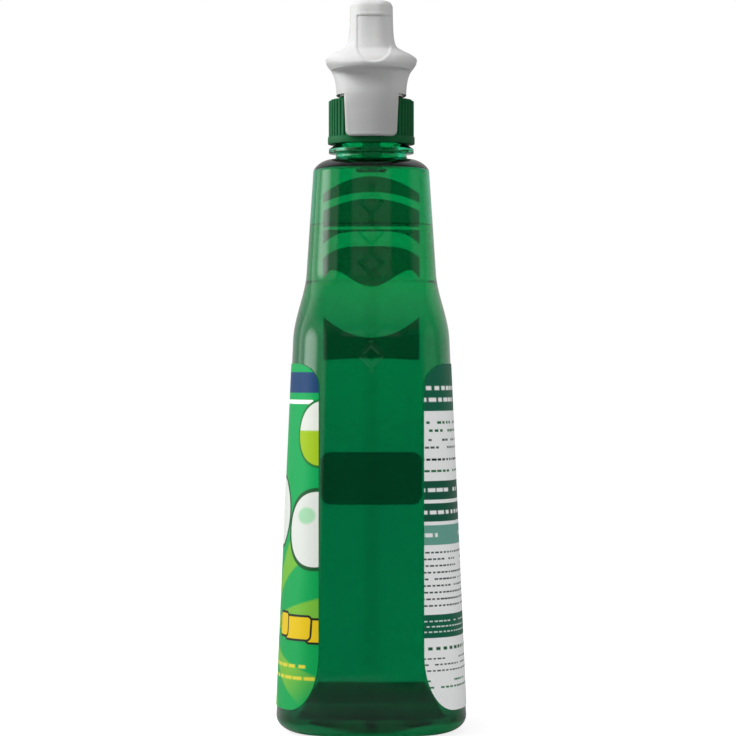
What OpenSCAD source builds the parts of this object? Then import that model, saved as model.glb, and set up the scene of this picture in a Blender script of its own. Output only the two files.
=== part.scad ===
// All-purpose cleaner bottle with a trigger sprayer.
// The base stands on the plane z = 0 with the bottle's axis on z. The front
// label faces -Y, the back label +Y, the nozzle points to -X and the hand's
// web rests under the saddle on the +X side. Millimetres.

/* [Bottle body] */
// Width of the bottle at its base, along X
base_w = 97; // [88:1:106]
// Depth of the bottle at its base, along Y
base_d = 75.4; // [68:0.2:82]
// Width at the top of the labelled body
body_top_w = 84; // [78:1:92]
// Depth at the top of the labelled body
body_top_d = 61.8; // [56:0.2:68]
// Height of the middle of the shoulder step
step_z = 166.2; // [156:0.2:172]
// Height that the shoulder step takes
step_h = 26; // [18:1:34]
// Width at the foot of the grip
grip_low_w = 62; // [56:1:70]
// Depth at the foot of the grip
grip_low_d = 51.4; // [46:0.2:56]
// Width at the top of the grip
grip_top_w = 50; // [44:1:54]
// Depth at the top of the grip
grip_top_d = 46; // [42:0.2:50]
// Height where the grip starts to round in to the neck
grip_top_z = 219.7; // [210:0.1:226]
// Height of the rounding above the grip
dome_h = 5.1; // [4:0.1:8]
// Radius of the flat top of the rounding
dome_top_r = 16.3; // [15.6:0.1:18]
// Squareness of the body's outline, 2 being an ellipse
body_n = 3.4; // [2.6:0.1:4.4]
// Squareness of the grip's outline
grip_n = 2.9; // [2.4:0.1:3.6]
// Wall of the blown body
wall = 0.7; // [0.5:0.05:1.2]
// Wall of the base
base_wall = 1.1; // [0.8:0.1:2]
// Thickness where the rounding meets the neck
top_wall = 1.6; // [1.2:0.1:2.4]

/* [Base] */
// Height of the rounding at the base
base_round_h = 6; // [4:0.5:9]
// How far the standing ring lies in from the side
base_round_in = 9; // [6:0.5:12]
// Width of the standing ring
foot_w = 2.5; // [1.5:0.25:4]
// Height of the push-up inside the standing ring
push_up_h = 6; // [3:0.5:9]

/* [Neck finish] */
// Radius of the bore through the neck
neck_bore_r = 10.8; // [10.4:0.05:11.2]
// Radius of the plain neck under the support ring
neck_r = 14.1; // [13.8:0.1:15]
// Height of the plain neck under the support ring
neck_skirt_h = 2.3; // [1.5:0.1:4]
// Radius of the support ring
ring_r = 16.87; // [16:0.05:18]
// Height of the support ring's rim
ring_t = 1.9; // [1.2:0.1:3]
// Height of the cone above the rim
ring_cone_h = 1.6; // [1:0.1:3]
// Radius of the cone at its top
ring_cone_r = 14.3; // [13.9:0.1:15]
// Height of the threaded finish above the ring
finish_h = 14; // [12:0.5:18]
// Radius of the finish between the threads
land_r = 12.6; // [12.3:0.05:12.9]
// Radius over the neck's thread
thread_r = 13.8; // [13.4:0.05:14]
// Pitch of the thread
pitch = 4.233; // [3.6:0.001:4.6]
// Turns of thread on the neck
thread_turns = 1.5; // [1:0.25:1.75]

/* [Contents and labels] */
// Height of the liquid's surface
liquid_z = 198.1; // [120:0.1:214]
// Height of the labels' lower edge
label_z0 = 10.2; // [8:0.2:30]
// Height of the labels' upper edge
label_z1 = 143.8; // [116:0.2:150]
// Distance from the middle of the narrow side to a label's edge
label_edge = 20.3; // [12:0.1:26]
// Radius of the labels' upper corners
label_r_top = 9; // [3:0.5:16]
// Radius of the labels' lower corners
label_r_low = 22; // [3:0.5:30]
// Thickness of a label
label_t = 0.15; // [0.1:0.05:0.4]

/* [Closure collar] */
// Radius over the collar's ribs
collar_r = 16.93; // [16.6:0.01:18]
// Radius of the plain band at the collar's foot
band_r = 17.26; // [16.9:0.01:18.4]
// Height of the plain band
band_h = 3; // [2:0.1:5]
// Number of ribs around the collar
rib_count = 52; // [36:1:64]
// Depth of the grooves between the ribs
rib_depth = 0.45; // [0.2:0.05:0.7]
// Rounding of the collar's top edge
collar_edge_r = 0.9; // [0.4:0.1:1.3]
// Thickness of the collar's top
collar_top_t = 1.5; // [1.2:0.1:2.2]
// Turns of thread in the collar
collar_turns = 1.25; // [0.75:0.25:1.5]

/* [Pump] */
// Thickness of the gasket on the neck
gasket_t = 1; // [0.6:0.1:1.6]
// Thickness of the pump's flange
flange_t = 1.3; // [1:0.1:2]
// Radius of the pump's flange
flange_r = 13.3; // [12.4:0.1:13.6]
// Radius of the turret that passes through the collar
turret_r = 9.8; // [9:0.1:10.2]
// Thickness of the platform on the turret
platform_t = 2.2; // [1.6:0.1:3]
// Bore radius of the pump cylinder
cyl_r = 6.8; // [6:0.1:7.4]
// Wall of the pump cylinder
cyl_wall = 1.15; // [0.9:0.05:1.5]
// Where the cylinder's open end lies along X
cyl_front = -13.5; // [-14.5:0.5:-12]
// Where the cylinder's closed end lies along X
cyl_back = 6.5; // [4:0.5:8]
// Stroke of the piston
stroke = 5.6; // [4:0.1:6]
// Radius of the discharge barrel
barrel_r = 4; // [3.4:0.1:4.2]
// Bore radius of the discharge barrel
barrel_bore_r = 2; // [1.4:0.1:2.4]
// Height of the barrel's axis above the shroud's lower edge
barrel_h = 26.2; // [25.6:0.2:28]
// Where the barrel's nozzle end lies along X
barrel_front = -41; // [-44:0.5:-40]
// Outer radius of the dip tube
tube_r = 2.8; // [2.2:0.1:3]
// Wall of the dip tube
tube_wall = 0.8; // [0.5:0.1:1]
// Clear height from the bottle's inner floor to the dip tube
tube_gap = 3; // [1.5:0.5:12]
// Radius of the inlet valve's ball
ball_r = 2.2; // [1.8:0.1:2.5]
// Lift of the inlet valve's ball
ball_lift = 1; // [0.6:0.1:1.4]
// Turns of the return spring
spring_turns = 5; // [3:1:6]
// Wire radius of the return spring
wire_r = 0.45; // [0.3:0.05:0.5]

/* [Trigger] */
// Where the trigger's pivot lies along X
pivot_x = -19; // [-21:0.5:-18]
// Height of the pivot above the barrel's axis
pivot_up = 1; // [0:0.5:1.5]
// Radius of the pivot pins
pin_r = 1.6; // [1.2:0.1:2]
// Width of the trigger
trigger_w = 13.2; // [11:0.2:13.6]
// From the pump's axis down to the trigger's tip
trigger_drop = 33.5; // [30:0.5:36]
// Wall of the trigger
trigger_wall = 1.6; // [1.2:0.1:2]

/* [Shroud] */
// Gap between the collar's top and the shroud's lower edge
head_gap = 1.35; // [0.8:0.05:2]
// Height of the shroud above its lower edge
head_h = 36.85; // [36:0.05:42]
// Width of the skirt at its lower edge
skirt_w = 27.7; // [27:0.1:30]
// Width across the saddle
saddle_w = 36.2; // [32:0.2:42]
// Height of the saddle's widest line above the lower edge
saddle_h = 14; // [13.5:0.1:15]
// Width of the upper column
column_w = 17.1; // [16.8:0.1:19]
// How far the saddle's lip reaches back
saddle_back = 27.2; // [24:0.2:32]
// How far the column reaches back
column_back = 19; // [17.5:0.5:21]
// How far the nose reaches forward
nose_front = 36.4; // [35.5:0.1:38]
// Wall of the shroud
shroud_wall = 1.15; // [0.9:0.05:1.3]
// Width of the tab over the collar at its top
tab_top_w = 21.4; // [16:0.2:24]
// Width of the tab at its lower edge
tab_low_w = 20; // [14:0.2:22]
// How far the tab hangs below the collar's top
tab_h = 15.5; // [8:0.1:16]
// Corner radius of the tab
tab_corner_r = 2.3; // [1:0.1:4]
// Thickness of the tab
tab_t = 1.4; // [1:0.1:2]

/* [Nozzle] */
// Side of the square nozzle cap
nozzle_w = 14; // [12:0.2:16]
// Length of the nozzle cap
nozzle_len = 14; // [11:0.5:18]
// Radius of the spray orifice
orifice_r = 0.45; // [0.3:0.05:0.8]

/* [Hidden] */

// Clearances
fit = 0.05;          // running fit, on the radius
seat_gap = 0.1;      // between flat faces that seat on one another
free_gap = 0.3;      // between pieces that pass one another
skin_gap = 0.15;     // between a label or the liquid and the wall

// Facets
n_round = 72;        // fine circles
n_ring = 56;         // points around the bottle
n_head = 44;         // points around the shroud
n_wire = 8;          // sides of a wire
n_turn = 20;         // steps for each turn of a coil or thread

// Heights along the neck
shoulder_z = grip_top_z + dome_h;
ring_z = shoulder_z + neck_skirt_h;
finish_z = ring_z + ring_t + ring_cone_h;
neck_top_z = finish_z + finish_h;
gasket_z = neck_top_z + seat_gap / 2;
flange_z = gasket_z + gasket_t + seat_gap / 2;
collar_ceiling_z = flange_z + flange_t + seat_gap;
collar_z0 = finish_z + 2 * seat_gap;
collar_z1 = collar_ceiling_z + collar_top_t;
head_z = collar_z1 + head_gap;

// Pump
platform_z = head_z - head_gap / 2;
platform_top_z = platform_z + platform_t;
cyl_out_r = cyl_r + cyl_wall;
pump_z = platform_top_z + cyl_out_r + seat_gap;
barrel_z = head_z + barrel_h;
pivot_z = barrel_z + pivot_up;
arm = pivot_z - pump_z;
pull = stroke / arm * 180 / PI;
cyl_floor = cyl_back - 1.5;
seal_w = 1.4;
spring_room = spring_turns * wire_r * 2 + 1.6;
piston_back = cyl_floor - spring_room - stroke - seat_gap;
piston_len = piston_back - (cyl_front + 1.2);
piston_front = piston_back - piston_len;
rod_r = 3.4;
pad_x = pivot_x - 5.3;
rod_tip = pad_x + free_gap;

// Dip tube, ball and seat
stem_r = 3.95;
stem_z = flange_z - 7.6;
chamber_h = ball_lift + ball_r * 2 + 0.6;
seat_z = stem_z - chamber_h;
seat_r = ball_r * 0.72;
ball_z = seat_z + sqrt(ball_r * ball_r - seat_r * seat_r) + 0.02;
tube_top_z = seat_z - 1.5;
tube_z0 = push_up_h + base_wall + tube_gap;
socket_h = 9;

// Collar
collar_bore_r = thread_r + 0.35;
collar_crest_r = land_r + 0.5;

// Nozzle
spinner_head_t = 1.2;
nozzle_x1 = -nose_front - 0.6;
nozzle_x0 = nozzle_x1 - nozzle_len;
nozzle_bore_r = barrel_r + 0.65;
nozzle_floor = barrel_front - seat_gap / 2 - spinner_head_t - seat_gap;

function clamp01(t) = min(1, max(0, t));
function smooth(t) = let (u = clamp01(t)) u * u * (3 - 2 * u);
function mix(a, b, t) = a + (b - a) * t;
function sgn_pow(v, p) = sign(v) * pow(abs(v), p);

// ---- the bottle's outline at a height, without its base and top rounding
function step_at(z) = smooth((z - (step_z - step_h / 2)) / step_h);
function body_at(z, low, top) = mix(low, top, z / (step_z - step_h / 2)) / 2;
function grip_at(z, low, top) =
    mix(low, top, (z - step_z - step_h / 2) / (grip_top_z - step_z - step_h / 2)) / 2;
function half_w(z) = mix(body_at(z, base_w, body_top_w),
                         grip_at(z, grip_low_w, grip_top_w), step_at(z));
function half_d(z) = mix(body_at(z, base_d, body_top_d),
                         grip_at(z, grip_low_d, grip_top_d), step_at(z));
function square_at(z) = mix(body_n, grip_n, step_at(z));

// A ring of points: half width, half depth, squareness and height
function outline_pt(a, b, n, t) =
    [a * sgn_pow(cos(t), 2 / n), b * sgn_pow(sin(t), 2 / n)];
function ring(a, b, n, z, count) =
    [for (i = [0:count - 1])
        let (p = outline_pt(a, b, n, 360 * i / count)) [p.x, p.y, z]];

// Base: [distance in from the side, height], from the middle outwards
function base_rows() = concat(
    [[half_d(0) - 6, push_up_h],
     [base_round_in + foot_w + 12, push_up_h * 0.86],
     [base_round_in + foot_w + 6, push_up_h * 0.55],
     [base_round_in + foot_w + 2.4, push_up_h * 0.2],
     [base_round_in + foot_w, 0]],
    [for (k = [0:5]) let (u = 90 * k / 6)
        [base_round_in * (1 - sin(u)), base_round_h * (1 - cos(u))]]);

// Rows of the whole skin, moved in by off and up from the floor by lift
function skin_rows(off, lift, top_r, top_z) = concat(
    [for (r = base_rows())
        [half_w(0) - r[0] - off, half_d(0) - r[0] - off, body_n,
         r[1] + lift * min(1, r[0] / base_round_in)]],
    [for (z = concat([base_round_h, mix(base_round_h, step_z - step_h / 2, 0.5)],
                     [for (k = [0:9]) step_z - step_h / 2 + step_h * k / 9],
                     [mix(step_z + step_h / 2, grip_top_z, 0.5), grip_top_z]))
        [half_w(z) - off, half_d(z) - off, square_at(z), z]],
    [for (u = [0.2, 0.42, 0.62, 0.78, 0.9, 1])
        let (f = pow(1 - pow(u, 1.6), 1 / 1.6))
        [mix(top_r, half_w(grip_top_z) - off, f),
         mix(top_r, half_d(grip_top_z) - off, f),
         mix(2, grip_n, f), mix(grip_top_z, top_z, u)]]);

// Skin of the liquid: the cavity's rows up to the surface, then the surface
function liquid_rows(off, lift) = concat(
    [for (r = skin_rows(off, lift, neck_bore_r, shoulder_z)) if (r[3] < liquid_z - 2) r],
    [[half_w(liquid_z) - off, half_d(liquid_z) - off, square_at(liquid_z), liquid_z]]);

// Closed solid through a list of rings of equal count, bottom to top
module loft(rings) {
    n = len(rings[0]);
    m = len(rings);
    low = [for (p = [0:2]) rings[0][0][p] * 0.5 + rings[0][floor(n / 2)][p] * 0.5];
    high = [for (p = [0:2]) rings[m - 1][0][p] * 0.5 + rings[m - 1][floor(n / 2)][p] * 0.5];
    pts = concat([for (r = rings) for (p = r) p], [low, high]);
    sides = [for (j = [0:m - 2]) for (i = [0:n - 1])
        let (k = (i + 1) % n)
        each [[j * n + i, (j + 1) * n + i, (j + 1) * n + k],
              [j * n + i, (j + 1) * n + k, j * n + k]]];
    floor_faces = [for (i = [0:n - 1]) [m * n, i, (i + 1) % n]];
    top_faces = [for (i = [0:n - 1]) [m * n + 1, (m - 1) * n + (i + 1) % n, (m - 1) * n + i]];
    polyhedron(points = pts, faces = concat(sides, floor_faces, top_faces), convexity = 8);
}

// Closed solid from rings joined end to end, with flat ends
module sweep(rings) {
    n = len(rings[0]);
    m = len(rings);
    sides = [for (j = [0:m - 2]) for (i = [0:n - 1])
        let (k = (i + 1) % n)
        each [[j * n + i, (j + 1) * n + i, (j + 1) * n + k],
              [j * n + i, (j + 1) * n + k, j * n + k]]];
    polyhedron(points = [for (r = rings) for (p = r) p],
               faces = concat(sides, [[for (i = [0:n - 1]) i]],
                              [[for (i = [0:n - 1]) m * n - 1 - i]]), convexity = 10);
}

// A thread ridge: from the root radius to the crest, tapering in at its ends
module thread_ridge(root_r, crest_r, z0, turns) {
    steps = ceil(turns * n_turn);
    root_h = 1.3;
    crest_h = 0.7;
    sweep([for (i = [0:steps])
        let (t = 360 * turns * i / steps, z = z0 + pitch * turns * i / steps,
             f = smooth(min(i, steps - i) / 3) * 0.98 + 0.02,
             c = mix(root_r, crest_r, f),
             prof = [[root_r, -root_h], [root_r, root_h], [c, crest_h], [c, -crest_h]],
             q = crest_r > root_r ? prof : [prof[3], prof[2], prof[1], prof[0]])
        [for (p = q) [p[0] * cos(t), p[0] * sin(t), z + p[1]]]]);
}

module solid_of_revolution(pts) {
    rotate_extrude($fn = n_round) polygon(pts);
}

module along_x(x0, x1, r, z) {
    translate([x0, 0, z]) rotate([0, 90, 0]) cylinder(h = x1 - x0, r = r, $fn = n_round);
}

// Plate in the XZ plane, centred on y = 0
module side_plate(w) {
    translate([0, w / 2, 0]) rotate([90, 0, 0]) linear_extrude(w) children();
}

module bottle() {
    color("#0b7a3c")
    difference() {
        union() {
            loft([for (r = skin_rows(0, 0, dome_top_r, shoulder_z))
                ring(r[0], r[1], r[2], r[3], n_ring)]);
            solid_of_revolution([
                [neck_bore_r - 0.6, shoulder_z - 0.8], [neck_r, shoulder_z - 0.8],
                [neck_r, ring_z], [ring_r, ring_z], [ring_r, ring_z + ring_t],
                [ring_cone_r, finish_z], [land_r, finish_z],
                [land_r, neck_top_z - 0.4], [land_r - 0.4, neck_top_z],
                [neck_bore_r - 0.6, neck_top_z]]);
            thread_ridge(land_r - 0.4, thread_r, finish_z + 3.9, thread_turns);
        }
        loft([for (r = skin_rows(wall, base_wall, neck_bore_r + 0.6, shoulder_z - top_wall))
            ring(r[0], r[1], r[2], r[3], n_ring)]);
        translate([0, 0, shoulder_z - top_wall - 1])
            cylinder(h = neck_top_z - shoulder_z + top_wall + 2, r = neck_bore_r, $fn = n_round);
    }
}

module cleaner_liquid() {
    color("#2f9d5a")
    difference() {
        loft([for (r = liquid_rows(wall + skin_gap, base_wall + skin_gap))
            ring(r[0], r[1], r[2], r[3], n_ring)]);
        translate([0, 0, -1]) cylinder(h = liquid_z + 2, r = tube_r + free_gap, $fn = n_round);
    }
}

// How far a label's edge is drawn in at a height, for its rounded corners
function corner_in(z, r, zc, dir) =
    let (d = max(0, dir * (z - zc))) r - sqrt(max(0, r * r - d * d));
function label_y(z) = label_edge + corner_in(z, label_r_top, label_z1 - label_r_top, 1)
    + corner_in(z, label_r_low, label_z0 + label_r_low, -1) * 0.55;
function label_rows() = concat(
    [for (k = [0:5]) label_z0 + label_r_low * (1 - cos(15 * (k + 0.6)) )],
    [mix(label_z0, label_z1, 0.5)],
    [for (k = [4:-1:0]) label_z1 - label_r_top * (1 - cos(18 * (k + 0.6)))]);

module label(side) {
    cols = 34;
    zs = label_rows();
    rows = len(zs);
    function at(z, u, off) =
        let (a = half_w(z) + off, b = half_d(z) + off,
             t0 = asin(pow(min(0.98, label_y(z) / b), body_n / 2)),
             p = outline_pt(a, b, body_n, mix(t0, 180 - t0, u)))
        [p.x, side * p.y, z];
    inner = [for (z = zs) for (i = [0:cols]) at(z, i / cols, skin_gap)];
    outer = [for (z = zs) for (i = [0:cols]) at(z, i / cols, skin_gap + label_t)];
    n = cols + 1;
    h = rows * n;
    skin = [for (j = [0:rows - 2]) for (i = [0:cols - 1])
        let (a = j * n + i, b = a + 1, c = a + n, d = c + 1)
        each [[a, b, d], [a, d, c], [h + a, h + d, h + b], [h + a, h + c, h + d]]];
    ends = [for (j = [0:rows - 2])
        let (a = j * n, c = a + n, b = a + cols, d = b + n)
        each [[a, c, h + c], [a, h + c, h + a], [b, h + d, d], [b, h + b, h + d]]];
    edges = [for (i = [0:cols - 1])
        let (a = i, b = i + 1, c = (rows - 1) * n + i, d = c + 1)
        each [[a, h + b, b], [a, h + a, h + b], [c, d, h + d], [c, h + d, h + c]]];
    all_faces = concat(skin, ends, edges);
    polyhedron(points = concat(inner, outer), convexity = 6,
        faces = side > 0 ? all_faces : [for (f = all_faces) [f[2], f[1], f[0]]]);
}

module front_label() {
    color("#04a557") label(-1);
}

module back_label() {
    color("#e9f2ee") label(1);
}

// Ribbed outline of the collar
function rib_outline() = [for (i = [0:rib_count - 1])
    each [for (q = [[0, 0], [0.16, 1], [0.62, 1], [0.78, 0]])
        let (t = 360 * (i + q[0]) / rib_count, r = collar_r - rib_depth * (1 - q[1]))
        [r * cos(t), r * sin(t)]]];

module closure_collar() {
    color("#0b6036")
    union() {
        difference() {
            union() {
                translate([0, 0, collar_z0 + band_h / 2])
                    linear_extrude(collar_z1 - collar_edge_r - collar_z0 - band_h / 2)
                        polygon(rib_outline());
                solid_of_revolution([
                    [0, collar_z0], [band_r - 0.3, collar_z0], [band_r, collar_z0 + 0.3],
                    [band_r, collar_z0 + band_h - 0.3], [band_r - 0.3, collar_z0 + band_h],
                    [collar_r - rib_depth - 0.4, collar_z0 + band_h],
                    [collar_r - rib_depth - 0.4, collar_z1 - collar_edge_r - 0.2],
                    [collar_r - rib_depth, collar_z1 - collar_edge_r - 0.2],
                    [collar_r - rib_depth, collar_z1 - collar_edge_r],
                    [collar_r - rib_depth - collar_edge_r * 0.3, collar_z1 - collar_edge_r * 0.3],
                    [collar_r - rib_depth - collar_edge_r, collar_z1], [0, collar_z1]]);
            }
            translate([0, 0, collar_z0 - 1])
                cylinder(h = collar_ceiling_z - collar_z0 + 1, r = collar_bore_r, $fn = n_round);
            translate([0, 0, collar_ceiling_z - 1])
                cylinder(h = collar_top_t + 2, r = turret_r + free_gap, $fn = n_round);
        }
        thread_ridge(collar_bore_r + 0.4, collar_crest_r, finish_z + 3.9 + pitch / 2, collar_turns);
    }
}

module neck_gasket() {
    color("#d9d9d2")
    translate([0, 0, gasket_z])
        difference() {
            cylinder(h = gasket_t, r = land_r, $fn = n_round);
            translate([0, 0, -1]) cylinder(h = gasket_t + 2, r = neck_bore_r - 0.2, $fn = n_round);
        }
}

module pump_body() {
    plug_r = neck_bore_r - free_gap;
    plug_wall = 1;
    plug_h = 5;
    riser_x = cyl_back + 3;
    vent_at = (stem_r + plug_r - plug_wall) / 2;
    color("#e4e4e0")
    difference() {
        union() {
            translate([0, 0, flange_z]) cylinder(h = flange_t, r = flange_r, $fn = n_round);
            translate([0, 0, flange_z - plug_h]) difference() {
                cylinder(h = plug_h + 0.1, r = plug_r, $fn = n_round);
                translate([0, 0, -1])
                    cylinder(h = plug_h + 1, r = plug_r - plug_wall, $fn = n_round);
            }
            translate([0, 0, stem_z]) cylinder(h = flange_z - stem_z + 0.1, r = stem_r, $fn = n_round);
            translate([0, 0, flange_z + 0.5])
                cylinder(h = platform_z - flange_z, r = turret_r, $fn = n_round);
            // platform that the shroud's skirt snaps around
            translate([0, 0, platform_z]) linear_extrude(platform_t)
                polygon([for (q = head_ring(platform_row())) [q.x, q.y]]);
            along_x(cyl_front, cyl_back, cyl_out_r, pump_z);
            // foot under the cylinder, riser behind it and web above it
            translate([cyl_front + 2, -3, platform_z + 0.5])
                cube([cyl_back - cyl_front - 2, 6, platform_t + 1]);
            translate([cyl_back - 0.5, -4.4, platform_z + 0.5])
                cube([7.4, 8.8, barrel_z - platform_z + 2]);
            translate([cyl_front + 3, -1, pump_z + cyl_r + 0.4])
                cube([cyl_back - cyl_front, 2, barrel_z - pump_z - cyl_r - 2]);
            along_x(barrel_front, riser_x + 4, barrel_r, barrel_z);
            // pivot pins, one each side of the barrel
            translate([pivot_x, -trigger_w / 2, pivot_z]) rotate([-90, 0, 0])
                cylinder(h = trigger_w, r = pin_r, $fn = n_round);
        }
        along_x(cyl_front - 1, cyl_floor, cyl_r, pump_z);
        along_x(barrel_front - 1, riser_x, barrel_bore_r, barrel_z);
        translate([riser_x, 0, pump_z]) cylinder(h = barrel_z - pump_z, r = 1.3, $fn = n_round);
        along_x(cyl_floor - 0.5, riser_x, 1.3, pump_z);
        translate([0, 0, stem_z - 1])
            cylinder(h = pump_z - cyl_r + 1.4 - stem_z, r = 1.6, $fn = n_round);
        // vent hole, from outside the turret down to the flap under the flange
        translate([-vent_at, 0, flange_z - 1]) cylinder(h = 4, r = 0.9, $fn = n_round);
        translate([-vent_at, 0, flange_z + 2.4]) rotate([90, 0, 0])
            cylinder(h = turret_r + 2, r = 0.5, $fn = n_round);
    }
}

// Shroud: [height, front, back, half width, squareness at the back, at the front]
function head_rows(off) =
    let (s = saddle_h, c = column_w / 2, k = skirt_w / 2, w = saddle_w / 2,
         b = saddle_back, cb = column_back, f = nose_front)
    [for (r = [
        [0, 15, 19.2, k, 2.6, 2.6],
        [s * 0.22, 15.4, 18.6, k + 0.15, 2.6, 2.6],
        [s * 0.47, 16, 17.6, mix(k, w, 0.17), 2.5, 2.5],
        [s * 0.61, 16.5, 17.0, mix(k, w, 0.33), 2.4, 2.4],
        [s * 0.665, 17, 17.8, mix(k, w, 0.43), 2.4, 2.4],
        [s * 0.69, 17.2, b - 1.4, mix(k, w, 0.48), 2.4, 2.4],
        [s * 0.73, 18, b - 0.4, mix(k, w, 0.58), 2.3, 2.4],
        [s * 0.81, 18.6, b, mix(k, w, 0.78), 2.3, 2.4],
        [s * 0.9, 19.4, b - 0.5, mix(k, w, 0.94), 2.3, 2.4],
        [s, 20.6, b - 1.6, w, 2.3, 2.5],
        [s + 0.8, 21.6, b - 2.6, mix(w, c, 0.07), 2.4, 2.5],
        [s + 1.7, 23.2, b - 3.8, mix(w, c, 0.22), 2.5, 2.7],
        [s + 2.6, 27, b - 5, mix(w, c, 0.42), 2.6, 3],
        [s + 3.5, f - 3, mix(b - 6, cb + 2.4, 0.5), mix(w, c, 0.62), 2.7, 4],
        [s + 4.6, f - 0.6, cb + 1.9, mix(w, c, 0.81), 2.9, 6],
        [s + 6.2, f, cb + 1.4, mix(w, c, 0.9), 3, 8],
        [s + 8.4, f, cb + 0.9, mix(w, c, 0.95), 3.1, 8],
        [s + 12, f, cb + 0.4, mix(w, c, 0.985), 3.2, 8],
        [head_h - 5.6, f, cb, c, 3.2, 8],
        [head_h - 2.4, f - 0.2, cb - 0.4, c - 0.05, 3.2, 8],
        [head_h - 0.9, f - 0.7, cb - 1.3, c - 0.6, 3, 7],
        [head_h - 0.2, f - 1.8, cb - 2.6, c - 1.9, 2.8, 6],
        [head_h, f - 3.4, cb - 4.4, c - 3.4, 2.6, 6]])
        [head_z + r[0], -r[1] + off, r[2] - off, r[3] - off, r[4], r[5]]];

// Where the outline is widest, along X, and how far the hollow reaches back
head_mid = 4;
hollow_back = column_back - shroud_wall - 0.2;
function head_ring(r) = [for (i = [0:n_head - 1])
    let (t = 360 * i / n_head, n = cos(t) >= 0 ? r[4] : r[5],
         l = cos(t) >= 0 ? r[2] - head_mid : head_mid - r[1])
    [head_mid + l * sgn_pow(cos(t), 2 / n), r[3] * sgn_pow(sin(t), 2 / n), r[0]]];

// The pump's platform follows the inside of the skirt
function platform_row() =
    let (r = head_rows(shroud_wall + free_gap)[0])
    [platform_z, max(r[1], cyl_front + 0.6), min(r[2], hollow_back - free_gap), r[3], r[4], r[5]];

// The hollow keeps out of the lip, stays open below and closed above
function hollow_rows() =
    let (rows = head_rows(shroud_wall), top = len(rows) - 3)
    concat([[head_z - 2, rows[0][1], min(rows[0][2], hollow_back), rows[0][3], 2.6, 2.6]],
        [for (i = [0:2:top]) let (r = rows[i])
            [r[0] - (i == top ? shroud_wall : 0), max(r[1], -nose_front + shroud_wall + 0.3),
             min(r[2], hollow_back), r[3], r[4], r[5]]]);

module shroud() {
    tab_r0 = band_r + free_gap;
    tab_r1 = tab_r0 + tab_t;
    tab_z0 = collar_z1 - tab_h;
    tab_z1 = head_z + 4;
    slot_w = trigger_w + 2 * free_gap;
    color("#e9e9e7")
    difference() {
        union() {
            loft([for (r = head_rows(0)) head_ring(r)]);
            // tab that hangs over the collar, concentric with it
            intersection() {
                difference() {
                    translate([0, 0, tab_z0])
                        cylinder(h = tab_z1 - tab_z0, r = tab_r1, $fn = n_round);
                    translate([0, 0, tab_z0 - 1])
                        cylinder(h = tab_z1 - tab_z0 + 2, r = tab_r0, $fn = n_round);
                }
                translate([tab_r0 / 2, 0, 0]) rotate([90, 0, 90]) linear_extrude(tab_r1)
                    tab_outline(tab_z0, tab_z1);
            }
        }
        loft([for (r = hollow_rows()) head_ring(r)]);
        // open front for the piston rod and the trigger
        translate([-30, -9, head_z - 2]) cube([24, 18, pump_z + cyl_out_r - head_z + 2]);
        // slot under the nose for the trigger
        translate([-nose_front + 2.2, -slot_w / 2, pump_z])
            cube([nose_front - 14, slot_w, barrel_z - pump_z]);
        // hole in the nose for the barrel
        along_x(-nose_front - 2, -nose_front + 8, barrel_r + free_gap, barrel_z);
    }
}

module tab_outline(z0, z1) {
    r = tab_corner_r;
    w0 = tab_low_w / 2;
    w1 = tab_top_w / 2;
    polygon(concat(
        [[-w1, z1]],
        [for (k = [0:6]) let (t = 180 + 15 * k) [-w0 + r + r * cos(t), z0 + r + r * sin(t)]],
        [for (k = [0:6]) let (t = 270 + 15 * k) [w0 - r + r * cos(t), z0 + r + r * sin(t)]],
        [[w1, z1]]));
}

// Trigger profile in the XZ plane: finger side, tip, and back
function drop_at(share) = pump_z - trigger_drop * share;
function trigger_front() = [
    [-30.4, barrel_z - barrel_r - 1.2], [-30.6, pump_z + 8], [-29.9, pump_z + 2],
    [-30.2, drop_at(0.12)], [-31.7, drop_at(0.3)], [-34.4, drop_at(0.493)],
    [-38.2, drop_at(0.687)], [-42.4, drop_at(0.848)], [-45.2, drop_at(0.925)],
    [-45.8, drop_at(0.961)], [-45.2, drop_at(0.991)], [-44, drop_at(1)]];
function trigger_back() = [
    [-41, drop_at(0.973)], [-37.6, drop_at(0.884)], [-33.8, drop_at(0.699)],
    [-30.6, drop_at(0.496)], [-28.2, drop_at(0.328)], [-25.6, drop_at(0.203)],
    [pad_x, drop_at(0.137)], [pad_x, barrel_z - barrel_r - 1.2]];

module trigger() {
    ear_w = 2;
    block_top = barrel_z - barrel_r - 1.2;
    f = trigger_front();
    b = trigger_back();
    color("#0b6036")
    difference() {
        union() {
            difference() {
                side_plate(trigger_w) polygon(concat(f, b));
                // hollow, open to the back above the pad and below it
                side_plate(trigger_w - 2 * trigger_wall)
                    polygon(concat(
                        [for (i = [1:8]) [f[i][0] + trigger_wall, f[i][1]]],
                        [for (i = [1:6]) [b[i][0] + 4, b[i][1]]]));
            }
            // pad that pushes the piston rod
            translate([-29.4, -3.6, pump_z - 4.6]) cube([29.4 + pad_x, 7.2, 9]);
            // ears on both sides of the barrel
            for (s = [-1, 1])
                translate([0, s * (trigger_w - ear_w) / 2, 0]) side_plate(ear_w) {
                    translate([pivot_x, pivot_z]) circle(r = pin_r + 2, $fn = n_round);
                    polygon([[pivot_x - pin_r - 2, pivot_z + 0.6], [pivot_x + pin_r + 1.6, pivot_z - 1],
                        [pad_x + 2.6, block_top - 1.5], [pad_x - 0.6, block_top - 4],
                        [-30.4, block_top - 1]]);
                }
        }
        translate([pivot_x, -trigger_w, pivot_z]) rotate([-90, 0, 0])
            cylinder(h = 2 * trigger_w, r = pin_r + fit, $fn = n_round);
    }
}

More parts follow.
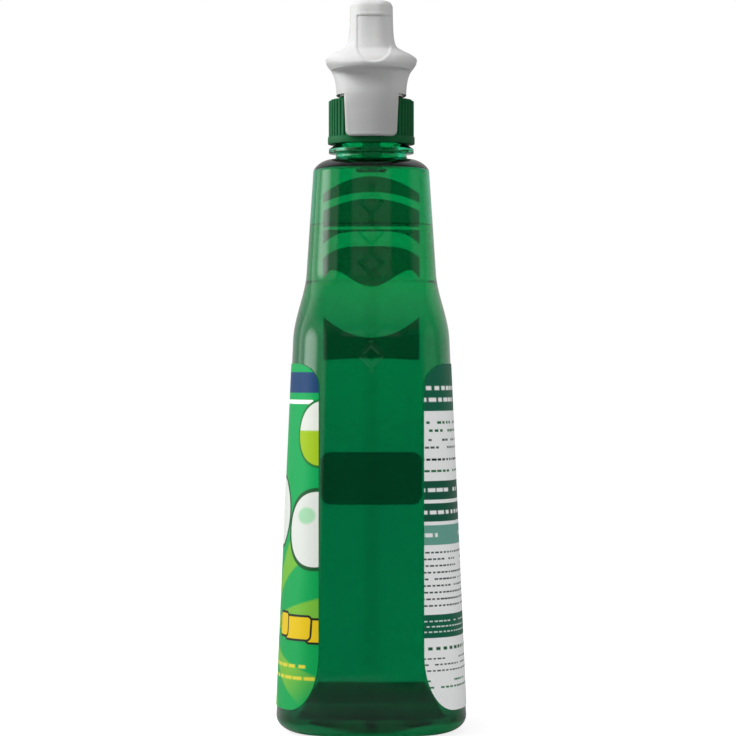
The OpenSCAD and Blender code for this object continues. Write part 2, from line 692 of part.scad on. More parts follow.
module piston() {
    color("#f1f1ee")
    difference() {
        union() {
            along_x(piston_front, piston_back, cyl_r - fit, pump_z);
            along_x(rod_tip + rod_r, piston_front + 0.5, rod_r, pump_z);
            // domed tip, so that the tilting pad rolls on it
            translate([rod_tip + rod_r, 0, pump_z]) sphere(r = rod_r, $fn = n_round);
        }
        // seat for the spring and groove for the seal
        along_x(piston_back - 1.2, piston_back + 1, 5.4, pump_z);
        difference() {
            along_x(piston_back - 3.6, piston_back - 3.6 + seal_w, cyl_r + 1, pump_z);
            along_x(piston_back - 4, piston_back - 3.2 + seal_w, cyl_r - 0.9, pump_z);
        }
    }
}

module piston_seal() {
    color("#2b2b2b")
    difference() {
        along_x(piston_back - 3.6 + fit, piston_back - 3.6 + seal_w - fit, cyl_r - fit / 2, pump_z);
        along_x(piston_back - 4, piston_back - 3.2 + seal_w, cyl_r - 0.9 + fit / 5, pump_z);
    }
}

module return_spring() {
    coil_r = 4.7;
    x0 = piston_back - 1.2 + wire_r + seat_gap / 2;
    x1 = cyl_floor - wire_r - seat_gap / 2;
    steps = spring_turns * 16;
    color("#b9bcc0")
    sweep([for (i = [0:steps])
        let (t = 360 * spring_turns * i / steps, x = mix(x0, x1, i / steps))
        [for (k = [0:n_wire - 1])
            let (q = 360 * k / n_wire, r = coil_r + wire_r * cos(q))
            [x + wire_r * sin(q), r * cos(t), pump_z + r * sin(t)]]]);
}

module inlet_ball() {
    color("#c9ccd0")
    translate([0, 0, ball_z]) sphere(r = ball_r, $fn = n_round);
}

module tube_retainer() {
    cup_r = stem_r + 1.1;
    color("#dcdcd6")
    solid_of_revolution([
        [seat_r, tube_top_z + 0.1], [tube_r + fit / 2, tube_top_z + 0.1],
        [tube_r + fit / 2, tube_top_z - socket_h], [tube_r + 1.2, tube_top_z - socket_h],
        [tube_r + 1.2, seat_z - 0.6], [cup_r, seat_z + 0.8], [cup_r, stem_z + 3],
        [stem_r + fit / 2, stem_z + 3], [stem_r + fit / 2, stem_z - 0.02],
        [ball_r + 0.45, stem_z - 0.02], [ball_r + 0.45, seat_z + 1.4], [seat_r, seat_z]]);
}

module dip_tube() {
    color("#cfe3d6")
    translate([0, 0, tube_z0])
        difference() {
            cylinder(h = tube_top_z - tube_z0, r = tube_r, $fn = n_round);
            translate([0, 0, -1])
                cylinder(h = tube_top_z - tube_z0 + 2, r = tube_r - tube_wall, $fn = n_round);
        }
}

module vent_valve() {
    color("#39393b")
    translate([0, 0, flange_z - 1 - seat_gap / 2])
        difference() {
            cylinder(h = 1, r = neck_bore_r - free_gap - 1.6, $fn = n_round);
            translate([0, 0, -1]) cylinder(h = 3, r = stem_r + fit / 2, $fn = n_round);
        }
}

module outlet_valve() {
    color("#39393b")
    difference() {
        along_x(barrel_front + 9, barrel_front + 11, barrel_bore_r - fit / 2, barrel_z);
        along_x(barrel_front + 9.8, barrel_front + 12, barrel_bore_r - 0.7, barrel_z);
    }
}

module spinner() {
    color("#f1f1ee")
    difference() {
        union() {
            along_x(barrel_front - seat_gap / 2 - spinner_head_t, barrel_front - seat_gap / 2,
                barrel_r - 0.4, barrel_z);
            along_x(barrel_front - seat_gap, barrel_front + 8.2, barrel_bore_r - fit / 2, barrel_z);
        }
        // four feed channels along the stem
        for (i = [0:3])
            translate([0, 0, barrel_z]) rotate([90 * i, 0, 0])
                translate([barrel_front - 2, barrel_bore_r - 0.5, -0.35]) cube([12, 2, 0.7]);
    }
}

module nozzle_seal() {
    color("#39393b")
    difference() {
        along_x(barrel_front + 1.2, barrel_front + 2.6, nozzle_bore_r - fit, barrel_z);
        along_x(barrel_front + 1, barrel_front + 3, barrel_r + fit / 5, barrel_z);
    }
}

module nozzle_cap() {
    r = 2.2;
    h = nozzle_w / 2;
    color("#0b6036")
    difference() {
        union() {
            translate([nozzle_x0 + 1, 0, barrel_z]) rotate([90, 0, 90])
                linear_extrude(nozzle_len - 1)
                    polygon([for (q = [[1, 1, 0], [-1, 1, 90], [-1, -1, 180], [1, -1, 270]])
                        for (k = [0:4])
                            let (t = q[2] + 22.5 * k)
                            [q[0] * (h - r) + r * cos(t), q[1] * (h - r) + r * sin(t)]]);
            along_x(nozzle_x0, nozzle_x0 + 2, h - 1.2, barrel_z);
        }
        along_x(nozzle_floor, nozzle_x1 + 1, nozzle_bore_r, barrel_z);
        along_x(nozzle_x0 + 2, nozzle_floor + 1, orifice_r, barrel_z);
        // dished mouth in front of the orifice
        translate([nozzle_x0 - 0.01, 0, barrel_z]) rotate([0, 90, 0])
            cylinder(h = 2.6, r1 = 3.4, r2 = 0.9, $fn = n_round);
    }
}

bottle();
cleaner_liquid();
front_label();
back_label();
closure_collar();
neck_gasket();
pump_body();
shroud();
trigger();
piston();
piston_seal();
return_spring();
inlet_ball();
tube_retainer();
dip_tube();
vent_valve();
outlet_valve();
spinner();
nozzle_seal();
nozzle_cap();
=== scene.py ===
"""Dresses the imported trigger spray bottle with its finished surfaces.

The frame stands on z = 0 with the bottle's axis on z. The nozzle points to -X,
the front label faces -Y and the back label +Y. The camera looks at the narrow
side from behind the sprayer, so it stands on +X. Sizes in the classes are in
millimetres, and meshes are made in metres.
"""

from __future__ import annotations

import logging
import math
from collections.abc import Callable, Sequence
from dataclasses import dataclass, field
from enum import Enum

import bmesh
import bpy
import numpy as np
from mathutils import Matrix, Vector

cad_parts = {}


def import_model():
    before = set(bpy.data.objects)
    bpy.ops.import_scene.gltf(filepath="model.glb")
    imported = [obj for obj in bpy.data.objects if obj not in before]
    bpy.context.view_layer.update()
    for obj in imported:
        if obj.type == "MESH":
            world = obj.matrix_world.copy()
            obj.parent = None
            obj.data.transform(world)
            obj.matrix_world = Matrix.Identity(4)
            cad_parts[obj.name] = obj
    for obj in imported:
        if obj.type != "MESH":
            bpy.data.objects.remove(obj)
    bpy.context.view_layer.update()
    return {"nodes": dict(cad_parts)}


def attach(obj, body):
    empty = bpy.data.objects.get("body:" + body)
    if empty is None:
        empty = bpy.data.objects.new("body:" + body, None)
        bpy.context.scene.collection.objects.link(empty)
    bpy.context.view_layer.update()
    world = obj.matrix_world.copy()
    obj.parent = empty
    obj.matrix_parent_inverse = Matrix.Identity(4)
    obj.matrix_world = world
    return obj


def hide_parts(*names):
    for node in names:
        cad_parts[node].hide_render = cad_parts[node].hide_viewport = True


LOG = logging.getLogger("spray_bottle")
MM = 0.001

Colour = tuple[float, float, float, float]
Faces = list[Sequence[int]]
Body = tuple[np.ndarray, Faces]
Piece = bpy.types.Object
Material = bpy.types.Material
Tree = bpy.types.NodeTree
Node = bpy.types.Node
Socket = bpy.types.NodeSocket
LETTERS_IN_DASH = 2.6


# ---------------------------------------------------------------- small tools
def linear(code: str) -> Colour:
    """Turns an sRGB hex value into a linear colour.

    Args:
        code: Six hex digits, with or without a leading #.

    Returns:
        Red, green, blue and an alpha of 1, linear.
    """
    raw = code.lstrip("#")
    parts = [int(raw[i : i + 2], 16) / 255 for i in (0, 2, 4)]
    lit = [c / 12.92 if c <= 0.04045 else ((c + 0.055) / 1.055) ** 2.4 for c in parts]
    return (lit[0], lit[1], lit[2], 1.0)


def add_node(
    tree: Tree,
    kind: str,
    inputs: dict[int | str, object] | None = None,
    **settings: object,
) -> Node:
    """Adds one node with its settings, values and links.

    Args:
        tree: The tree that gets the node.
        kind: The node's type name.
        inputs: A value, socket or Field for each input, by name or index.
        **settings: Properties of the node itself, set first.

    Returns:
        The new node.
    """
    node = tree.nodes.new(kind)
    for key, value in settings.items():
        setattr(node, key, value)
    for key, value in (inputs or {}).items():
        value = getattr(value, "socket", value)
        if isinstance(value, Socket):
            tree.links.new(value, node.inputs[key])
        else:
            node.inputs[key].default_value = value
    return node


@dataclass(frozen=True)
class Field:
    """A number that varies over a piece, with the arithmetic of Math nodes."""

    tree: Tree
    socket: Socket

    def math(self, operation: str, *others: object, clamp: bool = False) -> Field:
        """Applies one Math operation to this field and others.

        Args:
            operation: The Math node's operation.
            *others: Fields or numbers for the other inputs.
            clamp: Whether the result is held between 0 and 1.

        Returns:
            The result as a field.
        """
        values = dict(enumerate((self, *others)))
        node = add_node(
            self.tree, "ShaderNodeMath", values, operation=operation, use_clamp=clamp
        )
        return Field(self.tree, node.outputs[0])

    def __add__(self, other: object) -> Field:
        """Adds."""
        return self.math("ADD", other)

    def __sub__(self, other: object) -> Field:
        """Subtracts."""
        return self.math("SUBTRACT", other)

    def __mul__(self, other: object) -> Field:
        """Multiplies."""
        return self.math("MULTIPLY", other)

    def near(self, middle: float, half: float) -> Field:
        """Signed distance to a band: below 0 within half of middle."""
        return (self - middle).math("ABSOLUTE") - half

    def inside(self, soft: float = 0.18) -> Field:
        """Mask of 1 where this signed distance is below 0.

        Args:
            soft: Width of the edge, in the distance's own unit.

        Returns:
            The mask, from 0 to 1.
        """
        return self.math("MULTIPLY_ADD", -1.0 / soft, 0.5, clamp=True)

    def ramp(self, start: float, end: float) -> Field:
        """Smooth step from 0 at start to 1 at end."""
        node = add_node(
            self.tree,
            "ShaderNodeMapRange",
            {0: self, 1: start, 2: end, 3: 0.0, 4: 1.0},
            interpolation_type="SMOOTHSTEP",
        )
        return Field(self.tree, node.outputs[0])


def blend(mask: Field, below: object, above: object) -> Socket:
    """Lays one colour over another.

    Args:
        mask: 0 shows below, 1 shows above.
        below: A colour or a colour socket.
        above: A colour or a colour socket.

    Returns:
        The mixed colour's socket.
    """
    node = add_node(
        mask.tree, "ShaderNodeMix", {0: mask, 6: below, 7: above}, data_type="RGBA"
    )
    return node.outputs[2]


def build(
    name: str,
    verts: np.ndarray,
    faces: Faces,
    sharp: float = 32.0,
    uv: np.ndarray | None = None,
) -> Piece:
    """Makes a finished piece from points in millimetres.

    Args:
        name: The piece's name.
        verts: Points, one row each.
        faces: Point numbers of each face.
        sharp: Edges that turn by more degrees than this stay crisp.
        uv: One pair for each point, for prints that follow the surface.

    Returns:
        The piece, linked to the scene, with merged points and outward faces.
    """
    mesh = bpy.data.meshes.new(name)
    mesh.from_pydata((np.asarray(verts, float) * MM).tolist(), [], faces)
    if uv is not None:
        layer = mesh.uv_layers.new(name="print")
        order = np.zeros(len(mesh.loops), int)
        mesh.loops.foreach_get("vertex_index", order)
        layer.data.foreach_set("uv", np.asarray(uv, float)[order].ravel())
    obj = bpy.data.objects.new(name, mesh)
    bpy.context.scene.collection.objects.link(obj)
    tidy(obj, sharp)
    return obj


def tidy(obj: Piece, sharp: float = 32.0) -> None:
    """Merges doubles, turns faces outward and sets which edges are crisp.

    Args:
        obj: The piece.
        sharp: Edges that turn by more degrees than this stay crisp.
    """
    bm = bmesh.new()
    bm.from_mesh(obj.data)
    bmesh.ops.remove_doubles(bm, verts=bm.verts, dist=2e-7)
    bmesh.ops.dissolve_degenerate(bm, edges=bm.edges, dist=1e-7)
    bmesh.ops.recalc_face_normals(bm, faces=bm.faces)
    limit = math.radians(sharp)
    for edge in bm.edges:
        edge.smooth = len(edge.link_faces) == 2 and edge.calc_face_angle(0.0) < limit
    for face in bm.faces:
        face.smooth = True
    bm.to_mesh(obj.data)
    bm.free()


def loft(rings: np.ndarray, poles: bool = True) -> Body:
    """Skins closed rings of equal count.

    Args:
        rings: Rings, points and coordinates.
        poles: Whether the first and last ring are closed by a fan.

    Returns:
        The points and faces.
    """
    m, n, _ = rings.shape
    index = np.arange(m * n).reshape(m, n)
    after = np.roll(index, -1, axis=1)
    quads = np.stack([index[:-1], after[:-1], after[1:], index[1:]], axis=-1)
    faces: Faces = quads.reshape(-1, 4).tolist()
    verts = rings.reshape(-1, 3)
    if poles:
        verts = np.vstack([verts, rings[0].mean(0), rings[-1].mean(0)])
        faces += [[m * n, b, a] for a, b in zip(index[0], after[0])]
        faces += [[m * n + 1, a, b] for a, b in zip(index[-1], after[-1])]
    return verts, faces


def respace(line: np.ndarray, count: int, weight: np.ndarray | None = None) -> np.ndarray:
    """Spaces points evenly along a line.

    Args:
        line: Points of the line, one row each.
        count: How many points come back.
        weight: More than 1 where points should lie closer, one for each point.

    Returns:
        The new points.
    """
    step = np.linalg.norm(np.diff(line, axis=0), axis=1)
    if weight is not None:
        step = step * (weight[1:] + weight[:-1]) / 2
    along = np.concatenate([[0.0], np.cumsum(step)])
    want = np.linspace(0, along[-1], count)
    return np.stack([np.interp(want, along, line[:, k]) for k in range(line.shape[1])], 1)


def smooth(t: np.ndarray | float) -> np.ndarray:
    """Smooth step of a value held between 0 and 1."""
    u = np.clip(t, 0, 1)
    return u * u * (3 - 2 * u)


def mix(a: object, b: object, t: object) -> np.ndarray:
    """Goes from a to b as t goes from 0 to 1."""
    return a + (b - a) * t


def signed_power(value: np.ndarray, power: float) -> np.ndarray:
    """Raises to a power and keeps the sign."""
    return np.sign(value) * np.abs(value) ** power


def through(knots: np.ndarray, values: np.ndarray, at: np.ndarray) -> np.ndarray:
    """Smooth curve through values that never overshoots them.

    Args:
        knots: Rising places of the values.
        values: One row for each knot.
        at: Places that are asked for.

    Returns:
        One row for each place.
    """
    h = np.diff(knots)[:, None]
    slope = np.diff(values, axis=0) / h
    tangent = np.zeros_like(values)
    same = slope[:-1] * slope[1:] > 0
    both = np.where(same, slope[:-1] * slope[1:], 1.0)
    total = np.where(same, slope[:-1] + slope[1:], 1.0)
    tangent[1:-1] = np.where(same, 2 * both / total, 0.0)
    tangent[0], tangent[-1] = slope[0], slope[-1]
    i = np.clip(np.searchsorted(knots, at, "right") - 1, 0, len(knots) - 2)
    t = ((at - knots[i]) / np.diff(knots)[i])[:, None]
    return (
        (2 * t**3 - 3 * t**2 + 1) * values[i]
        + (t**3 - 2 * t**2 + t) * h[i] * tangent[i]
        + (3 * t**2 - 2 * t**3) * values[i + 1]
        + (t**3 - t**2) * h[i] * tangent[i + 1]
    )


def film(skins: Sequence[np.ndarray]) -> Body:
    """Closes two grids of points that lie face to face into one thin body.

    Args:
        skins: The outer and the inner grid: rows, columns and coordinates.

    Returns:
        The points and faces.
    """
    m, n, _ = skins[0].shape
    index = np.arange(m * n).reshape(m, n)
    faces: Faces = []
    for grid in (index, index + m * n):
        quads = np.stack([grid[:-1, :-1], grid[:-1, 1:], grid[1:, 1:], grid[1:, :-1]], -1)
        faces += quads.reshape(-1, 4).tolist()
    rim = [*index[0, :], *index[1:, -1], *index[-1, -2::-1], *index[-2:0:-1, 0]]
    faces += [[a, b, b + m * n, a + m * n] for a, b in zip(rim, [*rim[1:], rim[0]])]
    return np.vstack([skin.reshape(-1, 3) for skin in skins]), faces


def lathe(profile: Sequence[tuple[float, float]], count: int = 128) -> Body:
    """Turns a closed profile round the z axis.

    Args:
        profile: Radius and height of each point, in millimetres.
        count: Points round the axis.

    Returns:
        The points and faces of the ring-shaped body.
    """
    turn = np.linspace(0, 2 * math.pi, count, endpoint=False)
    loop = [*profile, profile[0]]
    rings = np.array([[(r * math.cos(t), r * math.sin(t), z) for t in turn] for r, z in loop])
    return loft(rings, poles=False)


def join(pieces: Sequence[Body]) -> Body:
    """Puts several bodies into one list of points and faces."""
    verts, faces, start = [], [], 0
    for points, sides in pieces:
        verts.append(points)
        faces += [[k + start for k in side] for side in sides]
        start += len(points)
    return np.vstack(verts), faces


def plate(outline: np.ndarray, low: float, high: float) -> Body:
    """Closed plate between two y planes from an outline in x and z.

    Args:
        outline: x and z of each corner.
        low: The lower y.
        high: The higher y.

    Returns:
        The points and faces.
    """
    n = len(outline)
    near = np.column_stack([outline[:, 0], np.full(n, low), outline[:, 1]])
    far = np.column_stack([outline[:, 0], np.full(n, high), outline[:, 1]])
    sides: Faces = [[i, (i + 1) % n, n + (i + 1) % n, n + i] for i in range(n)]
    return np.vstack([near, far]), [*sides, list(range(n))[::-1], list(range(n, 2 * n))]


def block(low: Sequence[float], high: Sequence[float]) -> Body:
    """Closed block between two corners, used to cut other pieces."""
    corners = np.array([[low[0], low[2]], [high[0], low[2]], [high[0], high[2]], [low[0], high[2]]])
    return plate(corners, low[1], high[1])


def rod_along_x(x0: float, x1: float, r: float, z: float, sides: int = 64) -> Body:
    """Closed round bar along x at a height, used to cut other pieces."""
    t = np.linspace(0, 2 * math.pi, sides, endpoint=False)
    ring = np.column_stack([np.zeros(sides), r * np.cos(t), z + r * np.sin(t)])
    return loft(np.stack([ring + [x0, 0, 0], ring + [x1, 0, 0]]))


def settle(obj: Piece) -> Piece:
    """Turns a piece's modifiers into plain mesh and removes them.

    Args:
        obj: The piece with its modifiers.

    Returns:
        The same object with a plain mesh.
    """
    graph = bpy.context.evaluated_depsgraph_get()
    done = bpy.data.meshes.new_from_object(
        obj.evaluated_get(graph), preserve_all_data_layers=True, depsgraph=graph
    )
    obj.modifiers.clear()
    obj.data = done
    obj.data.name = obj.name
    return obj


def cut(obj: Piece, tools: Sequence[Body], sharp: float = 32.0) -> None:
    """Cuts closed bodies out of a closed piece.

    Args:
        obj: The piece that is cut.
        tools: Points and faces of each body that is taken away.
        sharp: Edges that turn by more degrees than this stay crisp.
    """
    knives = [build(f"{obj.name}_cut{i}", *tool) for i, tool in enumerate(tools)]
    for knife in knives:
        modifier = obj.modifiers.new(knife.name, "BOOLEAN")
        modifier.operation = "DIFFERENCE"
        modifier.solver = "EXACT"
        modifier.object = knife
    settle(obj)
    for knife in knives:
        bpy.data.objects.remove(knife)
    tidy(obj, sharp)


def soften(obj: Piece, width: float, segments: int = 3, angle: float = 35.0) -> None:
    """Rounds a piece's crisp edges.

    Args:
        obj: The piece.
        width: Width of the rounding, in millimetres.
        segments: Steps across the rounding.
        angle: Edges that turn by more degrees than this are rounded.
    """
    modifier = obj.modifiers.new("rounding", "BEVEL")
    modifier.width = width * MM
    modifier.segments = segments
    modifier.limit_method = "ANGLE"
    modifier.angle_limit = math.radians(angle)
    modifier.use_clamp_overlap = True
    settle(obj)
    tidy(obj)


class Grower:
    """A Geometry Nodes tree with named sizes that makes one plain mesh."""

    def __init__(self, name: str, sizes: dict[str, float | int]) -> None:
        """Starts the tree.

        Args:
            name: The tree's name.
            sizes: Each named input with its value, lengths in metres.
        """
        self.sizes = sizes
        self.tree = bpy.data.node_groups.new(name, "GeometryNodeTree")
        face = self.tree.interface
        face.new_socket(name="Geometry", in_out="INPUT", socket_type="NodeSocketGeometry")
        for label, value in sizes.items():
            kind = "NodeSocketInt" if isinstance(value, int) else "NodeSocketFloat"
            face.new_socket(name=label, in_out="INPUT", socket_type=kind)
        face.new_socket(name="Geometry", in_out="OUTPUT", socket_type="NodeSocketGeometry")
        self.entry = self.tree.nodes.new("NodeGroupInput")

    def node(self, kind: str, inputs: dict[int | str, object] | None = None, **settings: object) -> Node:
        """Adds one node to this tree."""
        return add_node(self.tree, kind, inputs, **settings)

    def size(self, label: str) -> Field:
        """The named input as a field."""
        return Field(self.tree, self.entry.outputs[label])

    def grow(self, obj: Piece, result: Socket, material: Material) -> Piece:
        """Ends the tree, sets its inputs and turns the result into plain mesh.

        Args:
            obj: The object that carries the tree's starting geometry.
            result: The socket that holds the finished geometry.
            material: The finish of what the tree makes.

        Returns:
            The object with its plain mesh.
        """
        real = self.node("GeometryNodeRealizeInstances", {0: result})
        dressed = self.node("GeometryNodeSetMaterial", {"Geometry": real.outputs[0], "Material": material})
        self.node("NodeGroupOutput", {0: dressed.outputs[0]})
        modifier = obj.modifiers.new(self.tree.name, "NODES")
        modifier.node_group = self.tree
        for item in self.tree.interface.items_tree:
            if item.item_type == "SOCKET" and item.in_out == "INPUT" and item.name in self.sizes:
                modifier[item.identifier] = self.sizes[item.name]
        return settle(obj)


# ------------------------------------------------------------------- finishes
@dataclass(frozen=True)
class Finish:
    """What one material is and how its surface was made."""

    name: str

    def material(self) -> Material:
        """Makes the material with its nodes."""
        made = bpy.data.materials.new(self.name)
        made.use_nodes = True
        tree = made.node_tree
        tree.nodes.clear()
        shader = add_node(tree, "ShaderNodeBsdfPrincipled")
        output = add_node(tree, "ShaderNodeOutputMaterial", {"Surface": shader.outputs[0]})
        self.paint(tree, shader, output)
        return made

    def paint(self, tree: Tree, shader: Node, output: Node) -> None:
        """Sets the shader's sockets and adds the pattern."""
        raise NotImplementedError

    @staticmethod
    def noise(tree: Tree, grain_mm: float, detail: float = 2.0) -> Field:
        """Noise on object coordinates.

        Args:
            tree: The material's tree.
            grain_mm: Size of one grain, in millimetres.
            detail: Finer octaves that are added.

        Returns:
            Noise from 0 to 1 with a mean of a half.
        """
        place = add_node(tree, "ShaderNodeTexCoord")
        made = add_node(
            tree,
            "ShaderNodeTexNoise",
            {"Vector": place.outputs["Object"], "Scale": 1.0 / (grain_mm * MM), "Detail": detail},
        )
        return Field(tree, made.outputs[0])

    @staticmethod
    def bump(shader: Node, height: Field, depth_mm: float, strength: float = 1.0) -> None:
        """Raises the surface by a pattern, depth in millimetres."""
        node = add_node(
            height.tree,
            "ShaderNodeBump",
            {"Height": height, "Distance": depth_mm * MM, "Strength": strength},
        )
        height.tree.links.new(node.outputs[0], shader.inputs["Normal"])


@dataclass(frozen=True)
class MouldedPlastic(Finish):
    """Injection-moulded plastic: a fine eroded grain and a soft even sheen.

    The mould's grain is about 0.1 mm, finer than a pixel, so it is drawn at
    0.7 mm and very shallow, just enough to break up the highlight.
    """

    code: str = "#ffffff"
    shade: str = "#f0f0f0"
    roughness: float = 0.4
    grain_mm: float = 0.7
    depth_mm: float = 0.006
    ior: float = 1.49
    scatter: float = 0.0
    # share of painted shade that greys the colour towards the skirt and the tab
    painted_shade_foot: float = 0.0

    def paint(self, tree: Tree, shader: Node, output: Node) -> None:
        """Flow marks in the colour, painted shade towards the foot where asked, wear in the sheen, grain in the
        relief.
        """
        flow = self.noise(tree, 30.0).ramp(0.35, 0.7)
        colour = blend(flow, linear(self.code), linear(self.shade))
        if self.painted_shade_foot:
            # painted shade: the colour greys towards the skirt and the tab, standing in for the shade that falls
            # there
            place = add_node(tree, "ShaderNodeTexCoord")
            parts = add_node(tree, "ShaderNodeSeparateXYZ", {0: place.outputs["Object"]})
            low = Field(tree, parts.outputs[2]).ramp(0.262, 0.238) * self.painted_shade_foot
            colour = blend(low, colour, linear("#8e908f"))
        tree.links.new(colour, shader.inputs["Base Color"])
        worn = self.noise(tree, 6.0, 4.0) * 0.12 + (self.roughness - 0.06)
        tree.links.new(worn.socket, shader.inputs["Roughness"])
        shader.inputs["IOR"].default_value = self.ior
        if self.scatter:
            # light soaks a little way into the pale wall
            shader.inputs["Subsurface Weight"].default_value = self.scatter
            shader.inputs["Subsurface Scale"].default_value = 2.0 * MM
        self.bump(shader, self.noise(tree, self.grain_mm), self.depth_mm)


@dataclass(frozen=True)
class TintedPet(Finish):
    """Stretch-blown PET, tinted in the melt: clear, glossy, a little wavy.

    Each wall takes its share of the tint, so two walls look deeper than one.
    The wall is thicker over the body than at the shoulder. The narrow side facing +X has darker bands, read from the
    photograph, that are painted shade standing in for the dark seen through that side. z is the height and y the
    distance from the middle of that side, in millimetres.
    """

    thin: str = "#1dbb86"
    thick: str = "#14a07e"
    # how dark the painted shade in the bands makes the tint
    deep: float = 0.3
    roughness: float = 0.03
    ior: float = 1.42

    @staticmethod
    def between(z: Field, low: object, high: object, soft: float = 0.35) -> Field:
        """Mask of 1 between two heights, each a number or a field."""
        over_low = (z - low).math("MULTIPLY_ADD", 1 / soft, 0.5, clamp=True)
        under_high = (z - high).math("MULTIPLY_ADD", -1 / soft, 0.5, clamp=True)
        return over_low * under_high

    def bands(self, x: Field, y: Field, z: Field) -> Field:
        """Mask of the painted shade bands on the narrow side.

        Args:
            x: Distance from the axis towards that side.
            y: Distance from the middle of that side.
            z: Height.

        Returns:
            The mask, from 0 to 1.
        """
        side = y * (1 / 18.7)
        bow = side * side
        bow4 = bow * bow
        far = side.math("ABSOLUTE")
        crown = self.between(z, bow * -3.9 + 210.6, bow * -6.6 + 216.8)
        waist = self.between(z, 197.1, bow * -4.6 + 208.0)
        rim = self.between(z, bow4 * -4.9 + 195.2, 195.9)
        peak = far.ramp(0.05, 0.82) * 6.4 - far.ramp(0.82, 1.02) * 2.9
        belly = self.between(z, peak + 173.7, bow4 * -4.5 + 189.4)
        upper = crown.math("MAXIMUM", waist).math("MAXIMUM", rim).math("MAXIMUM", belly)
        upper = upper * y.near(0.0, 18.7).inside(0.4)
        shoulder = self.between(z, bow * -0.8 + 145.8, bow * 8.2 + 153.8) * y.near(0.0, 18.4).inside(0.5)
        pad = PrintedFilm.bar(y, z, (0.0, 99.7), (19.5, 10.1), 4.0).inside(0.4)
        flare = (z * -1.0 + 22.0) * 0.58 + 20.2
        foot = self.between(z, 7.3, 21.9, 0.8) * (far * 18.7 - flare).inside(0.8)
        lower = shoulder.math("MAXIMUM", pad).math("MAXIMUM", foot)
        return upper.math("MAXIMUM", lower) * x.ramp(8.0, 9.0)

    def paint(self, tree: Tree, shader: Node, output: Node) -> None:
        """Tint with blown streaks and bands of painted shade, and a slow waviness in the surface."""
        place = add_node(tree, "ShaderNodeTexCoord")
        parts = add_node(tree, "ShaderNodeSeparateXYZ", {0: place.outputs["Object"]})
        x, y, z = (Field(tree, out) * 1000.0 for out in parts.outputs)
        drawn = add_node(
            tree, "ShaderNodeMapping", {"Vector": place.outputs["Object"], "Scale": (1.0, 1.0, 0.16)}
        )
        streak = add_node(
            tree, "ShaderNodeTexNoise", {"Vector": drawn.outputs[0], "Scale": 60.0, "Detail": 1.0}
        )
        body = z.ramp(172.0, 150.0) * 0.6 + z.ramp(140.0, 88.0) * 0.25
        body = body + Field(tree, streak.outputs[0]).ramp(0.3, 0.75) * 0.15
        tint = blend(body, linear(self.thin), linear(self.thick))
        # painted shade: the tint darkens in the bands, the pad and the foot, standing in for the dark seen through
        # the plastic there
        painted_shade_factor = self.bands(x, y, z) * (self.deep - 1.0) + 1.0
        shade = add_node(tree, "ShaderNodeCombineColor", {0: painted_shade_factor, 1: painted_shade_factor, 2: painted_shade_factor})
        deeper = add_node(
            tree, "ShaderNodeMix", {0: 1.0, 6: tint, 7: shade.outputs[0]}, data_type="RGBA", blend_type="MULTIPLY"
        )
        tree.links.new(deeper.outputs[2], shader.inputs["Base Color"])
        shader.inputs["Roughness"].default_value = self.roughness
        shader.inputs["IOR"].default_value = self.ior
        shader.inputs["Transmission Weight"].default_value = 1.0
        self.bump(shader, self.noise(tree, 14.0, 1.0), 0.05, 0.5)


@dataclass(frozen=True)
class ClearLiquid(Finish):
    """Water-based cleaner, dyed: still and clear, deeper green where it is deep."""

    code: str = "#9cebcb"
    density: float = 7.0
    ior: float = 1.335

    def paint(self, tree: Tree, shader: Node, output: Node) -> None:
        """Clear surface over a dyed depth; the skin is barely uneven."""
        shader.inputs["Base Color"].default_value = (1.0, 1.0, 1.0, 1.0)
        shader.inputs["Roughness"].default_value = 0.0
        shader.inputs["IOR"].default_value = self.ior
        shader.inputs["Transmission Weight"].default_value = 1.0
        self.bump(shader, self.noise(tree, 20.0, 0.0), 0.02, 0.3)
        depth = add_node(tree, "ShaderNodeVolumeAbsorption")
        depth.inputs["Color"].default_value = linear(self.code)
        depth.inputs["Density"].default_value = self.density
        tree.links.new(depth.outputs[0], output.inputs["Volume"])


@dataclass(frozen=True)
class ClearTube(Finish):
    """Extruded polyethylene tube: milky clear with drawn lines along it."""

    code: str = "#f4fbf6"

    def paint(self, tree: Tree, shader: Node, output: Node) -> None:
        """A soft see-through wall with faint cloudiness."""
        cloud = self.noise(tree, 4.0).ramp(0.3, 0.8) * 0.3
        tree.links.new(blend(cloud, linear(self.code), linear("#e4f0e8")), shader.inputs["Base Color"])
        # its edges are nearly lost, because it stands in a liquid of about its own index
        shader.inputs["Roughness"].default_value = 0.1
        shader.inputs["IOR"].default_value = 1.03
        shader.inputs["Transmission Weight"].default_value = 1.0


@dataclass(frozen=True)
class SoftRubber(Finish):
    """Moulded elastomer: dull, dark, with a dusty bloom."""

    code: str = "#2b2b2d"

    def paint(self, tree: Tree, shader: Node, output: Node) -> None:
        """Bloom in the colour and a matt skin."""
        bloom = self.noise(tree, 2.0, 3.0).ramp(0.45, 0.8) * 0.4
        tree.links.new(blend(bloom, linear(self.code), linear("#4a4a4c")), shader.inputs["Base Color"])
        shader.inputs["Roughness"].default_value = 0.75
        self.bump(shader, self.noise(tree, 0.6), 0.01)


@dataclass(frozen=True)
class FoamLiner(Finish):
    """Foamed polyethylene liner: pale, matt, with tiny closed cells."""

    code: str = "#e2e2dc"

    def paint(self, tree: Tree, shader: Node, output: Node) -> None:
        """Cells of a third of a millimetre in colour and relief."""
        place = add_node(tree, "ShaderNodeTexCoord")
        cells = add_node(
            tree, "ShaderNodeTexVoronoi", {"Vector": place.outputs["Object"], "Scale": 1 / (0.35 * MM)}
        )
        wall = Field(tree, cells.outputs[0]).ramp(0.1, 0.7)
        tree.links.new(blend(wall, linear(self.code), linear("#c9c9c2")), shader.inputs["Base Color"])
        shader.inputs["Roughness"].default_value = 0.85
        self.bump(shader, wall, 0.02)


